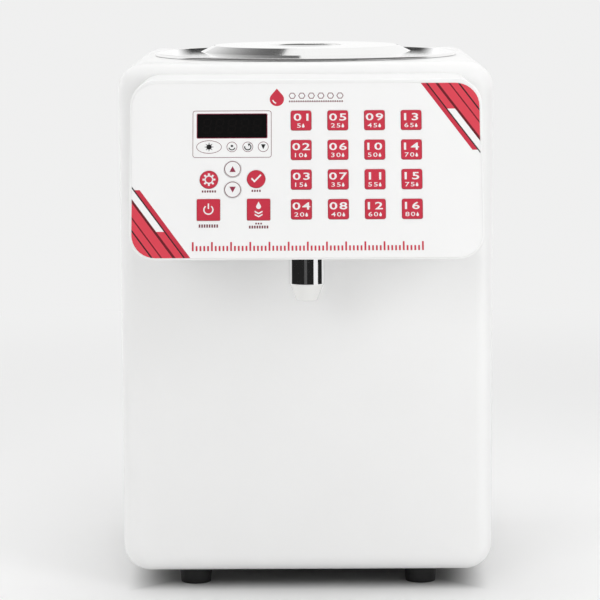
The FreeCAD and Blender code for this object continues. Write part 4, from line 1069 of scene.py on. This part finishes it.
def bar_row_tree():
    """A line of points, a cube on each, real faces, and their ink."""
    tree = bpy.data.node_groups.new("bar_row", "GeometryNodeTree")
    for kind, labels in ROW_INPUTS.items():
        for label in labels:
            tree.interface.new_socket(label, in_out="INPUT", socket_type=kind)
    tree.interface.new_socket("Geometry", in_out="OUTPUT", socket_type="NodeSocketGeometry")
    graph = Graph(tree)
    given = graph.node("NodeGroupInput")
    pitch, count, low_height = given.other("Pitch"), given.other("Count"), given.other("Height")
    line = graph.node("GeometryNodeMeshLine", {"mode": "OFFSET"}, {
        "Count": count, "Start Location": graph.vector((count - 1) * pitch * -0.5),
        "Offset": graph.vector(pitch)})
    tall = (graph.node("GeometryNodeInputIndex") % given.other("Tall Every")) < 0.5
    height = low_height + tall * (given.other("Tall Height") - low_height)
    raised = graph.node("GeometryNodeSetPosition", {}, {
        "Geometry": line, "Offset": graph.vector(0, height * 0.5)})
    cubes = graph.node("GeometryNodeInstanceOnPoints", {}, {
        "Points": raised, "Instance": graph.node("GeometryNodeMeshCube"),
        "Scale": graph.vector(given.other("Width"), height, given.other("Depth"))})
    real = graph.node("GeometryNodeRealizeInstances", {}, {"Geometry": cubes})
    row = graph.node("GeometryNodeSetMaterial", {}, {"Geometry": real, "Material": given.other("Ink")})
    graph.node("NodeGroupOutput", {}, {"Geometry": row})
    return tree


def grown(tree, values):
    """The plain mesh that a tree makes from the values of its named inputs."""
    holder = bpy.data.objects.new("holder", bpy.data.meshes.new("holder"))
    bpy.context.scene.collection.objects.link(holder)
    modifier = holder.modifiers.new("tree", "NODES")
    modifier.node_group = tree
    for item in tree.interface.items_tree:
        if item.in_out == "INPUT":
            modifier[item.identifier] = values[item.name]
    ready = holder.evaluated_get(bpy.context.evaluated_depsgraph_get())
    made = bpy.data.meshes.new_from_object(ready)
    bpy.data.objects.remove(holder)
    return made


bar_row = bar_row_tree()
NO_TALL_BARS = 1000


def bars(ink, middle, count, pitch, width, height, tall_height=0, every=NO_TALL_BARS):
    """A row of bars whose middle stands at a place on the film."""
    row = grown(bar_row, {
        "Count": count, "Pitch": pitch, "Width": width, "Height": height, "Tall Every": every,
        "Tall Height": tall_height or height, "Depth": INK_DEPTH, "Ink": finishes[ink].material})
    row.transform(Matrix.Translation((*middle, 0)))
    return row


print("inputs:", [item.name for item in bar_row.interface.items_tree])

# %% [markdown]
# ## Captions and rule
# What stands under a key is a word or two in small type. A row of bars as wide and as high as such a
# line keeps the look without the words. Every key's rows are given by how far they stand under it and
# how high they are, in millimetres, and by how many bars they have. In the rule along the foot every
# fifth bar is taller.

# %% Captions and rule
caption_rows = {
    "set_key": [(2.1, 1.5, 6)],
    "save_key": [(2.1, 1.5, 4)],
    "power_key": [(3.9, 2.3, 8)],
    "pour_key": [(2.4, 1.2, 3), (4.9, 2.0, 8)],
}
caption_pitch = 1.75 * MM
caption_bar = 1.15 * MM
rule_place = (0.8 * MM, -film_half_height + 5.2 * MM)
rule_bars = 61
rule_pitch = 2.66 * MM
rule_bar = 1.25 * MM
rule_height = 3.6 * MM
rule_tall = 6.4 * MM
rule_every = 5

captions = []
for key, rows in caption_rows.items():
    low, high = box_along(key, panel, FACE_DEPTH)
    for fall, height, count in rows:
        foot = ((low.x + high.x) / 2, low.y - (fall + height / 2) * MM)
        captions.append(bars("ink_plum", foot, count, caption_pitch, caption_bar, height * MM))
rule = bars("ink_red", rule_place, rule_bars, rule_pitch, rule_bar, rule_height, rule_tall, rule_every)
on_film("graduated_rule", "ink_red", rule)
on_film("key_captions", "ink_plum", *captions)
print("captions:", len(captions), "rule", round((rule_bars - 1) * rule_pitch / MM, 1), "mm long")

# %% [markdown]
# ## Header
# Above the keys stand a drop of syrup with a glint cut out of it, a row of six cells as of a honeycomb,
# and a row of small bars. A cell is two hexagons, one within the other, and a hexagon is six points of a
# circle.

# %% Header
header_line = film_half_height - 10.3 * MM
header_drop_place = (-20.4 * MM, header_line - 1.4 * MM)
header_drop = drop(header_drop_place, 5.0 * MM, 7.8 * MM)
header_glint = bow(header_drop_place, 3.3 * MM, 2.4 * MM, 190, 260)
cells = 6
cell_radii = (2.5 * MM, 1.9 * MM)
cell_pitch = 6.7 * MM
first_cell = (-9.6 * MM, header_line + 1.1 * MM)
header_bars = 24
header_bars_place = (7.0 * MM, header_line - 3.6 * MM)
header_pitch = 1.6 * MM
header_bar = 1.0 * MM
header_bar_height = 1.2 * MM

honeycomb = []
for cell in range(cells):
    middle = (first_cell[0] + cell * cell_pitch, first_cell[1])
    honeycomb += [[polar(radius, corner, middle) for corner in range(0, 360, 60)] for radius in cell_radii]
on_film("header_drop", "ink_red", filled(header_drop, header_glint))
on_film("header_row", "ink_plum", filled(*honeycomb),
        bars("ink_plum", header_bars_place, header_bars, header_pitch, header_bar, header_bar_height))
print("cells:", cells, "bars:", header_bars)

# %% [markdown]
# ## Stripes in two corners
# Two opposite corners of the film carry slanting stripes that end at its round corners. Each stripe is
# the film's own outline, cut by two parallel lines: a polygon is cut by a line when the points beyond it
# go and a new point comes where each side crosses it. A third cut, level, ends each stripe at its own
# height, so that the group has a stepped foot. The table gives each stripe its ink, where it starts and
# ends across the slant, and the height of its foot over the panel's middle, in millimetres. The lower
# corner is the upper one turned by half.

# %% Corner stripes
stripe_foot = (80.5 * MM, film_half_height)
stripe_slope = math.radians(-54)
film_corner = 17 * MM
film_inset = 0.25 * MM
STRIPES = (
    ("ink_red", 0.0, 2.9, 14),
    ("ink_black", 2.9, 3.8, 10),
    ("ink_scarlet", 3.8, 8.2, 44),
    ("ink_deep_red", 8.2, 9.9, 12),
    ("ink_scarlet", 9.9, 15.7, 6),
    ("ink_deep_red", 15.7, 16.6, 6),
    ("ink_scarlet", 16.6, 21.0, 0),
    ("ink_black", 21.0, 22.0, 0),
    ("ink_scarlet", 22.0, 40.0, 0),
)


def cut(outline, outward, reach):
    """The part of an outline that lies on the near side of a line."""
    beyond = [across * outward[0] + up * outward[1] - reach for across, up in outline]
    kept = []
    for step, point in enumerate(outline):
        following = (step + 1) % len(outline)
        if beyond[step] <= 0:
            kept.append(point)
        if beyond[step] * beyond[following] < 0:
            share = beyond[step] / (beyond[step] - beyond[following])
            kept.append(tuple(Vector(point).lerp(Vector(outline[following]), share)))
    return kept


half_width, half_height = film_half_width - film_inset, film_half_height - film_inset
film_outline = rounded((-half_width, -half_height), (half_width, half_height), film_corner - film_inset)
outward = (-math.sin(stripe_slope), math.cos(stripe_slope))
inward = (-outward[0], -outward[1])
foot_reach = stripe_foot[0] * outward[0] + stripe_foot[1] * outward[1]
for number, (ink, near, far, low) in enumerate(STRIPES, 1):
    stripe = cut(film_outline, outward, foot_reach + far * MM)
    stripe = cut(stripe, inward, -foot_reach - near * MM)
    stripe = cut(stripe, (0, -1), -low * MM)
    on_film(f"stripe_upper_{number}", ink, filled(stripe))
    on_film(f"stripe_lower_{number}", ink, filled([(-x, -y) for x, y in stripe]))
print("stripes in each corner:", len(STRIPES))

# %% [markdown]
